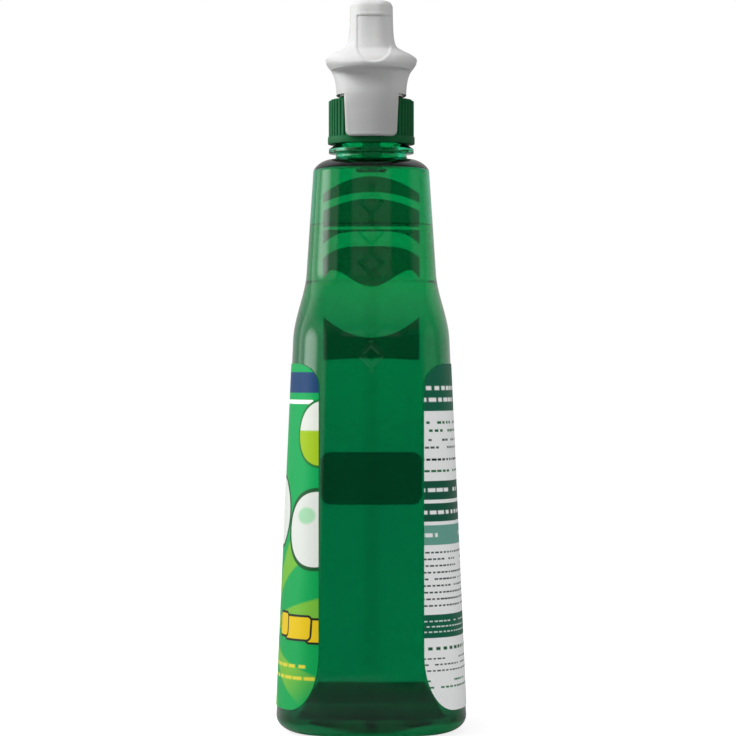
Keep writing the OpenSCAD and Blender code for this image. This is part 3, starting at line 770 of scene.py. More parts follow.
@dataclass(frozen=True)
class DrawnSteel(Finish):
    """Drawn stainless wire and polished ball: bright, with fine draw lines."""

    code: str = "#b9bcc0"

    def paint(self, tree: Tree, shader: Node, output: Node) -> None:
        """Draw lines in the sheen, metal all over."""
        shader.inputs["Metallic"].default_value = 1.0
        tone = self.noise(tree, 3.0).ramp(0.3, 0.7) * 0.3
        tree.links.new(blend(tone, linear(self.code), linear("#8f9297")), shader.inputs["Base Color"])
        lines = self.noise(tree, 0.8, 3.0) * 0.2 + 0.2
        tree.links.new(lines.socket, shader.inputs["Roughness"])


class LabelSide(Enum):
    """Which of the two labels, with the sign of its y."""

    FRONT = -1
    BACK = 1


@dataclass(frozen=True)
class PrintedFilm(Finish):
    """Pressure-sensitive film label, printed and varnished: smooth, satin gloss.

    The print is flat fields, bars and discs. u runs round the bottle from the
    label's middle towards +X, and z is the height above the floor, both in
    millimetres.
    """

    span: float = 130.0
    foot: float = 10.2
    rise: float = 133.6

    def place(self, tree: Tree) -> tuple[Field, Field]:
        """Distance from the label's middle and height, in millimetres."""
        source = add_node(tree, "ShaderNodeUVMap", uv_map="print")
        parts = add_node(tree, "ShaderNodeSeparateXYZ", {0: source.outputs[0]})
        u = (Field(tree, parts.outputs[0]) - 0.5) * self.span
        z = Field(tree, parts.outputs[1]) * self.rise + self.foot
        return u, z

    @staticmethod
    def disc(u: Field, z: Field, at: tuple[float, float], size: tuple[float, float]) -> Field:
        """Signed distance, roughly in millimetres, to an oval."""
        across = (u - at[0]) * (1 / size[0])
        up = (z - at[1]) * (1 / size[1])
        far = (across * across + up * up).math("SQRT")
        return (far - 1.0) * min(size)

    @staticmethod
    def bar(u: Field, z: Field, at: tuple[float, float], half: tuple[float, float], r: float) -> Field:
        """Signed distance to a bar with round corners."""
        across = u.near(at[0], half[0] - r)
        up = z.near(at[1], half[1] - r)
        ax, az = across.math("MAXIMUM", 0.0), up.math("MAXIMUM", 0.0)
        out = (ax * ax + az * az).math("SQRT")
        return out + across.math("MAXIMUM", up).math("MINIMUM", 0.0) - r

    @staticmethod
    def rows(u: Field, z: Field, top: float, low: float, pitch: float, fill: float, cell: float) -> Field:
        """Mask of plain dashes in rows, which stand in for small print.

        Args:
            u: Distance round the bottle.
            z: Height.
            top: Where the rows start.
            low: Where they end.
            pitch: Height of one row.
            fill: Share of the row that a line of print would fill; a dash takes half of it.
            cell: Width of a letter; a dash with its gap spans a few of them.

        Returns:
            The mask.
        """
        count = z * (-1 / pitch) + top / pitch
        row, height = count.math("FLOOR"), count.math("FRACT") * -1.0 + (0.5 + fill / 2)
        step = u * (1 / (cell * LETTERS_IN_DASH)) + row * 0.37
        dice = []
        for scale in (1.0, 0.21):
            spot = add_node(
                u.tree, "ShaderNodeCombineXYZ", {0: (step * scale).math("FLOOR"), 1: row, 2: top + scale}
            )
            made = add_node(
                u.tree, "ShaderNodeTexWhiteNoise", {0: spot.outputs[0]}, noise_dimensions="3D"
            )
            shares = add_node(u.tree, "ShaderNodeSeparateColor", {0: made.outputs[1]})
            dice.append([Field(u.tree, out) for out in shares.outputs])
        (gap, wide, _), (pause, _, _) = dice
        dash = (step.math("FRACT").near(0.48, 0.26) - wide * 0.2).inside(0.14)
        line = (height - fill * 0.5).near(0.0, fill * 0.26).inside(0.1)
        word = gap.math("GREATER_THAN", 0.1) * pause.math("GREATER_THAN", 0.06)
        return word * dash * line * z.near((top + low) / 2, (top - low) / 2).inside()

    def finish_print(self, tree: Tree, shader: Node, colour: Socket) -> None:
        """Varnish over the print, with the slight orange peel of film."""
        tree.links.new(colour, shader.inputs["Base Color"])
        sheen = self.noise(tree, 9.0) * 0.1 + 0.4
        tree.links.new(sheen.socket, shader.inputs["Roughness"])
        shader.inputs["IOR"].default_value = 1.28
        self.bump(shader, self.noise(tree, 3.0), 0.006)


@dataclass(frozen=True)
class FrontPrint(PrintedFilm):
    """Front print: bright green ground, pale rays, bubbles and yellow blocks."""

    def paint(self, tree: Tree, shader: Node, output: Node) -> None:
        """Lays the fields one over another, ground first."""
        u, z = self.place(tree)
        ground = blend(z.ramp(20.0, 130.0), linear("#00964a"), linear("#009a50"))
        # rays spread from low on the label's middle
        angle = (z - 40.0).math("ARCTAN2", u)
        ray = (angle * 11.0).math("SINE").ramp(0.1, 0.35)
        reach = self.disc(u, z, (0.0, 52.0), (60.0, 46.0)).inside(14.0)
        colour = blend(ray * reach * 0.85, ground, linear("#74b030"))
        # deep blue head band with a white rule under it
        head = self.bar(u, z, (6.0, 136.5), (51.0, 4.0), 3.5)
        colour = blend(head.inside(), colour, linear("#083763"))
        rule = self.bar(u, z, (2.0, 129.0), (40.0, 0.8), 0.7)
        colour = blend(rule.inside(), colour, linear("#f4f8ef"))
        # two-tone badge by the edge
        badge = self.disc(u, z, (47.0, 117.0), (11.5, 12.5))
        tone = blend((z - 118.0).ramp(-0.4, 0.4), linear("#98b81e"), linear("#d9dcd4"))
        colour = blend((badge - 0.9).inside(), colour, linear("#0c6b2c"))
        colour = blend(badge.inside(), colour, tone)
        # row of bubbles with a dark green outline
        for at, size in (((47.0, 80.0), 14.5), ((17.0, 86.0), 13.0), ((-12.0, 76.0), 17.0), ((-41.0, 85.0), 11.0)):
            ball = self.disc(u, z, at, (size, size))
            colour = blend((ball - 1.5).inside(), colour, linear("#0b4a22"))
            colour = blend(ball.inside(), colour, linear("#d6dad4"))
            glint = self.disc(u, z, (at[0] - size * 0.34, at[1] + size * 0.36), (size * 0.3, size * 0.22))
            colour = blend(glint.inside(1.0), colour, linear("#9fcfa8"))
        # stepped yellow blocks with a black outline
        for i, at in enumerate((50.5, 40.0, 29.5, 8.0, -14.0, -27.0, -46.0)):
            bar = self.bar(u, z, (at, 41.0 + (i % 3)), (4.4 + (i % 2) * 3, 4.2), 1.4)
            colour = blend((bar - 0.9).inside(), colour, linear("#10160c"))
            colour = blend(bar.inside(), colour, linear("#d8b81a"))
        small = self.rows(u, z, 29.5, 20.5, 4.5, 0.55, 2.3)
        colour = blend(small * u.near(10.0, 46.0).inside(), colour, linear("#cfc63c"))
        self.finish_print(tree, shader, colour)


@dataclass(frozen=True)
class BackPrint(PrintedFilm):
    """Back print: white ground, deep teal bands and rows of small dashes."""

    def paint(self, tree: Tree, shader: Node, output: Node) -> None:
        """Lays bands, rules and rows of dashes over the white ground."""
        u, z = self.place(tree)
        white, teal, deep = linear("#fbfdfc"), linear("#066349"), linear("#075740")
        column = u.near(0.0, 55.5).inside()
        colour: object = white
        for top, low, tint in (
            (150.0, 125.5, teal), (98.6, 91.4, deep), (90.0, 83.0, deep), (81.6, 74.0, linear("#6aa898")),
            (47.3, 38.4, teal),
        ):
            band = z.near((top + low) / 2, (top - low) / 2).inside()
            colour = blend(band, colour, tint)
        for top, low, pitch, fill, cell, tint in (
            (136.6, 127.6, 4.5, 0.66, 1.7, white),
            (122.6, 116.4, 3.1, 0.62, 1.15, linear("#0f6a3c")),
            (115.8, 110.0, 2.9, 0.55, 1.0, linear("#4f5c56")),
            (108.2, 105.4, 2.8, 0.6, 1.1, linear("#12271f")),
            (103.8, 101.0, 2.8, 0.6, 1.2, linear("#0f6a3c")),
            (97.0, 93.2, 3.8, 0.72, 1.6, white),
            (88.4, 84.6, 3.8, 0.72, 1.6, white),
            (79.8, 75.8, 4.0, 0.72, 1.7, white),
            (72.4, 49.4, 2.55, 0.5, 0.85, linear("#3c4843")),
            (45.8, 39.6, 2.05, 0.5, 0.9, linear("#d9ebe3")),
            (36.2, 32.4, 3.8, 0.62, 1.4, linear("#0d5c34")),
            (31.6, 24.6, 2.3, 0.5, 0.85, linear("#4a5650")),
            (23.2, 18.2, 2.5, 0.55, 1.0, linear("#1c7c49")),
        ):
            colour = blend(self.rows(u, z, top, low, pitch, fill, cell) * column, colour, tint)
        self.finish_print(tree, shader, colour)


def made(kind: type[Finish], *values: object) -> Material:
    """Field that holds one finish's material, made with the palette."""
    return field(default_factory=lambda: kind(*values).material())


@dataclass
class Palette:
    """Every finish of this bottle, made once."""

    pet: Material = made(TintedPet, "blown_tinted_pet")
    liquid: Material = made(ClearLiquid, "dyed_cleaner")
    front: Material = made(FrontPrint, "printed_film_front")
    back: Material = made(BackPrint, "printed_film_back")
    # Polypropylene homopolymer, dark green, moulded against a polished steel
    green: Material = made(
        MouldedPlastic, "moulded_green_polypropylene", "#04562d", "#044e28", 0.5, 0.8, 0.004, 1.28
    )
    # White polypropylene, moulded against a lightly eroded steel: soft sheen
    # its last value paints shade that greys the cover towards the skirt and the tab
    white: Material = made(
        MouldedPlastic, "moulded_white_polypropylene", "#cdcdcc", "#c9c9c9", 0.55, 0.9, 0.006, 1.4, 0.04, 0.6
    )
    # Uncoloured polypropylene: milky, a little grey
    natural: Material = made(
        MouldedPlastic, "moulded_natural_polypropylene", "#e3e4df", "#d8dad4", 0.38, 0.7, 0.004
    )
    tube: Material = made(ClearTube, "extruded_polyethylene_tube")
    rubber: Material = made(SoftRubber, "moulded_dark_rubber")
    liner: Material = made(FoamLiner, "foamed_liner")
    steel: Material = made(DrawnSteel, "drawn_stainless_steel")


def dress(obj: Piece, material: Material, body: str) -> Piece:
    """Gives a new piece its material and body.

    Args:
        obj: The piece.
        material: Its finish.
        body: The CAD body that it rides on.

    Returns:
        The piece.
    """
    obj.data.materials.clear()
    obj.data.materials.append(material)
    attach(obj, body)
    LOG.info("%s: %d faces, on %s", obj.name, len(obj.data.polygons), body)
    return obj


# --------------------------------------------------------------------- bottle
@dataclass
class BottleForm:
    """Outline of the blown bottle, from the same values as its solid."""

    base: tuple[float, float] = (97.0, 75.4)
    body_top: tuple[float, float] = (84.0, 61.8)
    step_z: float = 166.2
    step_h: float = 26.0
    grip_low: tuple[float, float] = (62.0, 51.4)
    grip_top: tuple[float, float] = (50.0, 46.0)
    grip_top_z: float = 219.7
    dome_top_r: float = 16.3
    body_n: float = 3.4
    grip_n: float = 2.9
    round_h: float = 6.0
    round_in: float = 9.0
    foot_w: float = 2.5
    push_up: float = 6.0
    flute_low: float = 168.0
    flute_high: float = 214.0
    flute_pitch: float = 10.8
    flute_depth: float = 0.9
    around: int = 200

    def step(self, z: float) -> float:
        """How far the shoulder step has gone at a height, 0 to 1."""
        return float(smooth((z - (self.step_z - self.step_h / 2)) / self.step_h))

    def half(self, z: float) -> np.ndarray:
        """Half width and half depth at a height."""
        low_z = self.step_z - self.step_h / 2
        high_z = self.step_z + self.step_h / 2
        body = mix(np.array(self.base), np.array(self.body_top), z / low_z) / 2
        share = (z - high_z) / (self.grip_top_z - high_z)
        grip = mix(np.array(self.grip_low), np.array(self.grip_top), share) / 2
        return mix(body, grip, self.step(z))

    def square(self, z: float) -> float:
        """Squareness of the outline at a height."""
        return float(mix(self.body_n, self.grip_n, self.step(z)))

    def flute(self, points: np.ndarray, z: float) -> np.ndarray:
        """Presses shallow finger flutes into the side under the trigger."""
        if not self.flute_low < z < self.flute_high:
            return points
        fade = smooth((z - self.flute_low) / 4) * smooth((self.flute_high - z) / 4)
        wave = 0.5 - 0.5 * math.cos(2 * math.pi * (z - self.flute_low) / self.flute_pitch)
        side = smooth((17.0 - np.abs(points[:, 1])) / 9) * smooth(-points[:, 0] / 10)
        points = points.copy()
        points[:, 0] += self.flute_depth * float(fade) * wave * side
        return points

    def ring(self, half: Sequence[float], n: float, z: float, inset: float = 0.0) -> np.ndarray:
        """Evenly spaced ring of the outline at a height.

        Args:
            half: Half width and half depth.
            n: Squareness, 2 being an ellipse.
            z: Height.
            inset: How far the ring lies inside.

        Returns:
            The ring's points.
        """
        t = np.linspace(0, 2 * math.pi, 1201)
        a, b = max(half[0] - inset, 0.05), max(half[1] - inset, 0.05)
        line = np.column_stack([a * signed_power(np.cos(t), 2 / n), b * signed_power(np.sin(t), 2 / n)])
        crowd = 1 + 2.0 * smooth((6.5 - np.abs(line[:, 1])) / 2) * smooth((line[:, 0] - 9) / 4)
        line = respace(line, self.around + 1, crowd)[:-1]
        return self.flute(np.column_stack([line, np.full(self.around, z)]), z)

    def floor_rows(self, off: float, lift: float) -> list[np.ndarray]:
        """Rings of the push-up, standing ring and base rounding, from the middle.

        Args:
            off: Distance inside the outer skin.
            lift: Height above the outer skin at the base.

        Returns:
            The rings, inner first.
        """
        start = self.round_in + self.foot_w
        deep = float(self.half(0)[1]) - 6
        places = np.array([0.0, 2.4, 6.0, 12.0, deep - start])
        heights = np.array([0.0, 0.2, 0.55, 0.86, 1.0])[:, None] * self.push_up
        rows = []
        for d in np.linspace(deep - start, 0, 16):
            rise = float(through(places, heights, np.array([d]))[0, 0])
            rows.append((start + d, rise))
        for u in np.linspace(0, math.pi / 2, 14):
            rows.append((self.round_in * (1 - math.sin(u)), self.round_h * (1 - math.cos(u))))
        made = []
        for inset, z in rows:
            up = z + lift * min(1.0, inset / self.round_in)
            made.append(self.ring(self.half(max(z, 0)) - inset, self.body_n, up, off))
        return made

    def wall_rows(self, off: float, low: float, high: float, pitch: float) -> list[np.ndarray]:
        """Rings of the side wall between two heights."""
        count = max(2, round((high - low) / pitch) + 1)
        return [self.ring(self.half(z), self.square(z), z, off) for z in np.linspace(low, high, count)]

    def dome_rows(self, off: float, top_r: float, top_z: float) -> list[np.ndarray]:
        """Rings of the rounding above the grip, towards the neck."""
        rows = []
        edge = self.half(self.grip_top_z) - off
        for u in np.linspace(0.06, 1, 16):
            f = (1 - u**1.6) ** (1 / 1.6) if u < 1 else 0.0
            z = mix(self.grip_top_z, top_z, u)
            rows.append(self.ring(mix(top_r, edge, f), float(mix(2.0, self.grip_n, f)), z))
        return rows


@dataclass
class Bottle:
    """Blown bottle with its neck finish, embossing, thread and contents."""

    form: BottleForm
    wall: float = 0.7
    base_wall: float = 1.1
    shoulder_z: float = 224.8
    top_wall: float = 1.6
    bore_r: float = 10.8
    liquid_z: float = 198.1
    pitch: float = 4.233
    turns: float = 1.5

    def neck_rows(self) -> list[np.ndarray]:
        """Rings of the neck, support ring and finish, out and back in."""
        profile = [
            (15.4, 224.82), (14.7, 225.0), (14.25, 225.4), (14.1, 225.9), (14.1, 226.8), (14.2, 227.0),
            (14.4, 227.1), (16.55, 227.1), (16.8, 227.2), (16.87, 227.4), (16.87, 228.7), (16.8, 228.95),
            (16.6, 229.15), (14.5, 230.5), (14.3, 230.6), (12.8, 230.6), (12.6, 230.8), (12.6, 236.0),
            (12.6, 244.1), (12.5, 244.4), (12.2, 244.6), (11.1, 244.6), (10.85, 244.5), (self.bore_r, 244.2),
            (self.bore_r, 236.0), (self.bore_r, 226.0), (10.9, 223.9), (11.4, 223.4),
        ]
        return [self.form.ring((r, r), 2.0, z) for r, z in profile]

    def shell(self) -> Piece:
        """Outer skin, neck and inner skin as one closed wall."""
        form = self.form
        plain, fluted, raised = 2.0, 1.0, 0.62  # row pitches that each kind of surface needs
        outer = form.floor_rows(0.0, 0.0) + form.wall_rows(0.0, 7.2, 137.0, plain)
        outer += form.wall_rows(0.0, 137.6, form.grip_top_z, raised)
        outer += form.dome_rows(0.0, form.dome_top_r, self.shoulder_z)
        inner = form.floor_rows(self.wall, self.base_wall)
        inner += form.wall_rows(self.wall, 8.0, form.grip_top_z, fluted)
        inner += form.dome_rows(self.wall, form.dome_top_r - self.wall, self.shoulder_z - self.top_wall)
        rings = outer + self.neck_rows() + inner[::-1]
        return build("bottle_shell", *loft(np.stack(rings)), sharp=60.0)

    def emboss(self, obj: Piece, material: Material) -> Piece:
        """Raises a column of diamonds and dots on the narrow side facing +X.

        Args:
            obj: The bottle's shell.
            material: The bottle's finish.

        Returns:
            The shell as plain mesh with its relief.
        """
        g = Grower(
            "raised column",
            {"Foot Height": 141.0 * MM, "Head Height": 213.0 * MM, "Pitch": 12.0 * MM, "Reach": 4.2 * MM,
             "Dot Radius": 0.75 * MM, "Line Half Width": 0.3 * MM, "Relief": 0.45 * MM, "Edge": 0.7 * MM},
        )
        parts = g.node("ShaderNodeSeparateXYZ", {0: g.node("GeometryNodeInputPosition").outputs[0]})
        x, y, z = (Field(g.tree, out) for out in parts.outputs)
        cell = (z - g.size("Foot Height")).math("DIVIDE", g.size("Pitch")).math("FRACT") - 0.5
        up = cell * g.size("Pitch")
        # distance to a diamond's line, and to the dot between two diamonds
        diamond = ((y.math("ABSOLUTE") + up.math("ABSOLUTE") - g.size("Reach")) * 0.7071).math("ABSOLUTE")
        seam = (cell.math("ABSOLUTE") * -1.0 + 0.5) * g.size("Pitch")
        dot = (y * y + seam * seam).math("SQRT") - g.size("Dot Radius")
        rise = (diamond - g.size("Line Half Width")).math("MINIMUM", dot).math("DIVIDE", g.size("Edge"))
        rise = rise.math("MULTIPLY_ADD", -1.0, 0.5, clamp=True)
        rise = rise * rise * (rise * -2.0 + 3.0)
        inside = z.math("GREATER_THAN", g.size("Foot Height")) * z.math("LESS_THAN", g.size("Head Height"))
        # only the outer skin of that side faces +X
        normal = g.node("GeometryNodeInputNormal").outputs[0]
        facing = add_node(g.tree, "ShaderNodeSeparateXYZ", {0: normal})
        outer = Field(g.tree, facing.outputs[0]).math("GREATER_THAN", 0.5) * x.math("GREATER_THAN", 0.01)
        lift = g.node(
            "ShaderNodeVectorMath",
            {0: normal, "Scale": rise * inside * outer * g.size("Relief")},
            operation="SCALE",
        )
        moved = g.node("GeometryNodeSetPosition", {"Geometry": g.entry.outputs[0], "Offset": lift.outputs[0]})
        g.grow(obj, moved.outputs[0], material)
        tidy(obj, 60.0)
        return obj

    def contents(self) -> Piece:
        """Liquid that wets the wall, with a raised rim where it meets it."""
        form, off = self.form, self.wall * 0.5
        rows = form.floor_rows(off, self.base_wall * 0.5)
        rows += form.wall_rows(off, 8.0, self.liquid_z - 1.5, 2.0)
        z = self.liquid_z
        edge = form.ring(form.half(z), form.square(z), z, off)
        for share, rise in ((1.0, 0.5), (0.985, 0.25), (0.96, 0.06), (0.92, 0.0), (0.6, 0.0), (0.3, 0.0)):
            rows.append(edge * [share, share, 1.0] + [0, 0, rise])
        return build("cleaner_contents", *loft(np.stack(rows)), sharp=50.0)

    def thread(self, material: Material) -> Piece:
        """Thread ridge that runs round the neck's finish.

        Args:
            material: The bottle's finish.

        Returns:
            The ridge as a plain mesh.
        """
        obj = bpy.data.objects.new("neck_thread", bpy.data.meshes.new("neck_thread"))
        bpy.context.scene.collection.objects.link(obj)
        g = Grower(
            "neck thread",
            {"Turns": self.turns, "Pitch": self.pitch * MM, "Root Radius": 12.75 * MM,
             "Crest": 1.05 * MM, "Start": 234.5 * MM},
        )
        spiral = g.node(
            "GeometryNodeCurveSpiral",
            {"Resolution": 64, "Rotations": g.size("Turns"), "Start Radius": g.size("Root Radius"),
             "End Radius": g.size("Root Radius"), "Height": g.size("Turns") * g.size("Pitch"),
             "Reverse": True},
        )
        along = g.node("GeometryNodeSplineParameter")
        ends = Field(g.tree, along.outputs[0]).near(0.5, 0.5) * -1.0
        taper = g.node(
            "GeometryNodeSetCurveRadius", {"Curve": spiral.outputs[0], "Radius": ends.ramp(0.0, 0.06) * 0.98 + 0.02}
        )
        wire = g.node("GeometryNodeCurvePrimitiveCircle", {"Resolution": 12, "Radius": g.size("Crest")})
        tube = g.node(
            "GeometryNodeCurveToMesh",
            {"Curve": taper.outputs[0], "Profile Curve": wire.outputs[0], "Fill Caps": True},
        )
        lift = g.node("ShaderNodeCombineXYZ", {2: g.size("Start")})
        placed = g.node("GeometryNodeTransform", {"Geometry": tube.outputs[0], "Translation": lift.outputs[0]})
        g.grow(obj, placed.outputs[0], material)
        tidy(obj)
        return obj

    def dress(self, palette: Palette) -> None:
        """Builds the bottle's pieces and places them on its body."""
        shell = dress(self.emboss(self.shell(), palette.pet), palette.pet, "bottle_body")
        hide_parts("bottle")
        dress(self.thread(palette.pet), palette.pet, "bottle_body")
        fill = dress(self.contents(), palette.liquid, "bottle_body")
        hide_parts("cleaner_liquid")


@dataclass
class Labels:
    """Two wrapped film labels with round corners."""

    form: BottleForm
    low: float = 10.2
    high: float = 143.8
    edge: float = 20.3
    r_top: float = 9.0
    r_low: float = 22.0
    inner: float = -0.12
    outer: float = 0.3
    columns: int = 120

    def edge_y(self, z: float) -> float:
        """Where the label ends beside the bottle's narrow side."""
        up = max(0.0, z - (self.high - self.r_top))
        down = max(0.0, (self.low + self.r_low) - z)
        top = self.r_top - math.sqrt(max(0.0, self.r_top**2 - up**2))
        low = self.r_low - math.sqrt(max(0.0, self.r_low**2 - down**2))
        return self.edge + top + low * 0.55

    def line(self, z: float, off: float, side: int) -> tuple[np.ndarray, np.ndarray]:
        """Points of one row and their distance from the label's middle."""
        n = self.form.square(z)
        a, b = self.form.half(z) + off
        start = math.asin(min(0.98, self.edge_y(z) / b) ** (n / 2))
        t = np.linspace(start, math.pi - start, 801)
        raw = np.column_stack([a * signed_power(np.cos(t), 2 / n), b * signed_power(np.sin(t), 2 / n)])
        points = respace(raw, self.columns + 1)
        length = float(np.linalg.norm(np.diff(raw, axis=0), axis=1).sum())
        along = np.linspace(length / 2, -length / 2, self.columns + 1)
        return np.column_stack([points[:, 0], side * points[:, 1], np.full(len(points), z)]), along

    def sheet(self, side: LabelSide, span: float) -> Piece:
        """One label as a thin closed film with its print coordinates.

        Args:
            side: Which label.
            span: Width in millimetres that the print coordinate covers.

        Returns:
            The label.
        """
        turns = np.linspace(0, math.pi / 2, 14)
        low = self.low + self.r_low * (1 - np.cos(turns))
        high = self.high - self.r_top * (1 - np.cos(turns[:0:-1]))
        middle = np.linspace(self.low + self.r_low, self.high - self.r_top, 44)
        zs = np.concatenate([low, middle[1:], high[1:], [self.low, self.high]])
        zs = np.unique(np.clip(zs, self.low, self.high))
        skins, marks = [], []
        for off in (self.outer, self.inner):
            rows = [self.line(float(z), off, side.value) for z in zs]
            skins.append(np.stack([points for points, _ in rows]))
            for z, (_, along) in zip(zs, rows):
                up = (z - self.low) / (self.high - self.low)
                marks.append(np.column_stack([along / span + 0.5, np.full(len(along), up)]))
        return build(f"{side.name.lower()}_label_film", *film(skins), 50.0, np.vstack(marks))

    def dress(self, palette: Palette) -> None:
        """Builds both labels and places them on the bottle."""
        for side, material in ((LabelSide.FRONT, palette.front), (LabelSide.BACK, palette.back)):
            name = side.name.lower()
            sheet = dress(self.sheet(side, PrintedFilm.span), material, "bottle_body")
            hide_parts(f"{name}_label")


# --------------------------------------------------------------------- collar
@dataclass
class Collar:
    """Screw collar with upright ribs, a plain band below and an inner thread."""

    low: float = 230.8
    high: float = 248.6
    r: float = 16.93
    band_r: float = 17.26
    band_h: float = 3.0
    ribs: int = 52
    depth: float = 0.45
    edge_r: float = 0.9
    bore_r: float = 14.15
    ceiling: float = 247.1
    hole_r: float = 10.1
    thread_r: float = 14.1
    thread_z: float = 236.6
    thread_pitch: float = 4.233
    thread_turns: float = 1.25
    ridge_r: float = 0.8

    def ring(self) -> Piece:
        """Turned body of the collar without its ribs."""
        core = self.r - self.depth
        arc = [
            (core - self.edge_r * (1 - math.cos(t)), self.high - self.edge_r * (1 - math.sin(t)))
            for t in np.linspace(0, math.pi / 2, 7)
        ]
        band = [
            (self.band_r - 0.35, self.low), (self.band_r - 0.1, self.low + 0.1),
            (self.band_r, self.low + 0.35), (self.band_r, self.low + self.band_h - 0.35),
            (self.band_r - 0.1, self.low + self.band_h - 0.1), (self.band_r - 0.35, self.low + self.band_h),
        ]
        inside = [
            (self.hole_r, self.high), (self.hole_r, self.ceiling), (self.bore_r, self.ceiling),
            (self.bore_r, self.low + 0.3), (self.bore_r + 0.3, self.low),
        ]
        return build("closure_ring", *lathe([*band, (core, self.low + self.band_h), *arc, *inside], 208))

    def ribbed(self, material: Material) -> Piece:
        """Adds the ribs and the inner thread to the turned body.

        Args:
            material: The collar's finish.

        Returns:
            The whole collar as one plain mesh.
        """
        obj = self.ring()
        g = Grower(
            "collar ribs",
            {"Rib Count": self.ribs, "Core Radius": (self.r - self.depth) * MM, "Rib Depth": self.depth * MM,
             "Rib Width": 1.24 * MM, "Rib Foot": (self.low + self.band_h - 0.2) * MM,
             "Rib Length": (self.high - self.edge_r * 0.55 - self.low - self.band_h) * MM,
             "Thread Radius": self.thread_r * MM, "Thread Pitch": self.thread_pitch * MM,
             "Thread Turns": self.thread_turns, "Thread Ridge": self.ridge_r * MM},
        )
        rod = g.node("GeometryNodeCurvePrimitiveLine")
        tip = g.node("ShaderNodeCombineXYZ", {2: g.size("Rib Length")})
        g.tree.links.new(tip.outputs[0], rod.inputs["End"])
        fine = g.node("GeometryNodeResampleCurve", {"Curve": rod.outputs[0], "Count": 16})
        along = g.node("GeometryNodeSplineParameter")
        room = Field(g.tree, along.outputs["Length"]) - g.size("Rib Length")
        taper = (room * (-1 / (1.1 * MM))).math("MINIMUM", 1.0).math("MAXIMUM", 0.0).math("POWER", 0.5)
        shaped = g.node("GeometryNodeSetCurveRadius", {"Curve": fine.outputs[0], "Radius": taper * 0.9 + 0.1})
        wire = g.node("GeometryNodeCurvePrimitiveCircle", {"Resolution": 12, "Radius": 1.0})
        oval = g.node("ShaderNodeCombineXYZ", {0: g.size("Rib Depth"), 1: g.size("Rib Width") * 0.5, 2: 1.0})
        flat = g.node("GeometryNodeTransform", {"Geometry": wire.outputs[0], "Scale": oval.outputs[0]})
        rib = g.node(
            "GeometryNodeCurveToMesh",
            {"Curve": shaped.outputs[0], "Profile Curve": flat.outputs[0], "Fill Caps": True},
        )
        seats = g.node(
            "GeometryNodeMeshCircle", {"Vertices": g.size("Rib Count"), "Radius": g.size("Core Radius")}
        )
        where = g.node("GeometryNodeInputPosition")
        parts = g.node("ShaderNodeSeparateXYZ", {0: where.outputs[0]})
        angle = Field(g.tree, parts.outputs[1]).math("ARCTAN2", Field(g.tree, parts.outputs[0]))
        facing = g.node("ShaderNodeCombineXYZ", {2: angle})
        copies = g.node(
            "GeometryNodeInstanceOnPoints",
            {"Points": seats.outputs[0], "Instance": rib.outputs[0], "Rotation": facing.outputs[0]},
        )
        lift = g.node("ShaderNodeCombineXYZ", {2: g.size("Rib Foot")})
        placed = g.node("GeometryNodeTransform", {"Geometry": copies.outputs[0], "Translation": lift.outputs[0]})
        spiral = g.node(
            "GeometryNodeCurveSpiral",
            {"Resolution": 48, "Rotations": g.size("Thread Turns"), "Start Radius": g.size("Thread Radius"),
             "End Radius": g.size("Thread Radius"), "Height": g.size("Thread Pitch") * g.size("Thread Turns"),
             "Reverse": True},
        )
        ridge = g.node("GeometryNodeCurvePrimitiveCircle", {"Resolution": 10, "Radius": g.size("Thread Ridge")})
        worm = g.node(
            "GeometryNodeCurveToMesh",
            {"Curve": spiral.outputs[0], "Profile Curve": ridge.outputs[0], "Fill Caps": True},
        )
        up = g.node(
            "GeometryNodeTransform", {"Geometry": worm.outputs[0], "Translation": (0.0, 0.0, self.thread_z * MM)}
        )
        both = g.node("GeometryNodeJoinGeometry")
        for part in (g.entry.outputs[0], placed.outputs[0], up.outputs[0]):
            g.tree.links.new(part, both.inputs[0])
        g.grow(obj, both.outputs[0], material)
        tidy(obj)
        return obj

    def dress(self, palette: Palette) -> None:
        """Builds the collar and places it on its body."""
        ring = dress(self.ribbed(palette.green), palette.green, "collar")
        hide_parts("closure_collar")


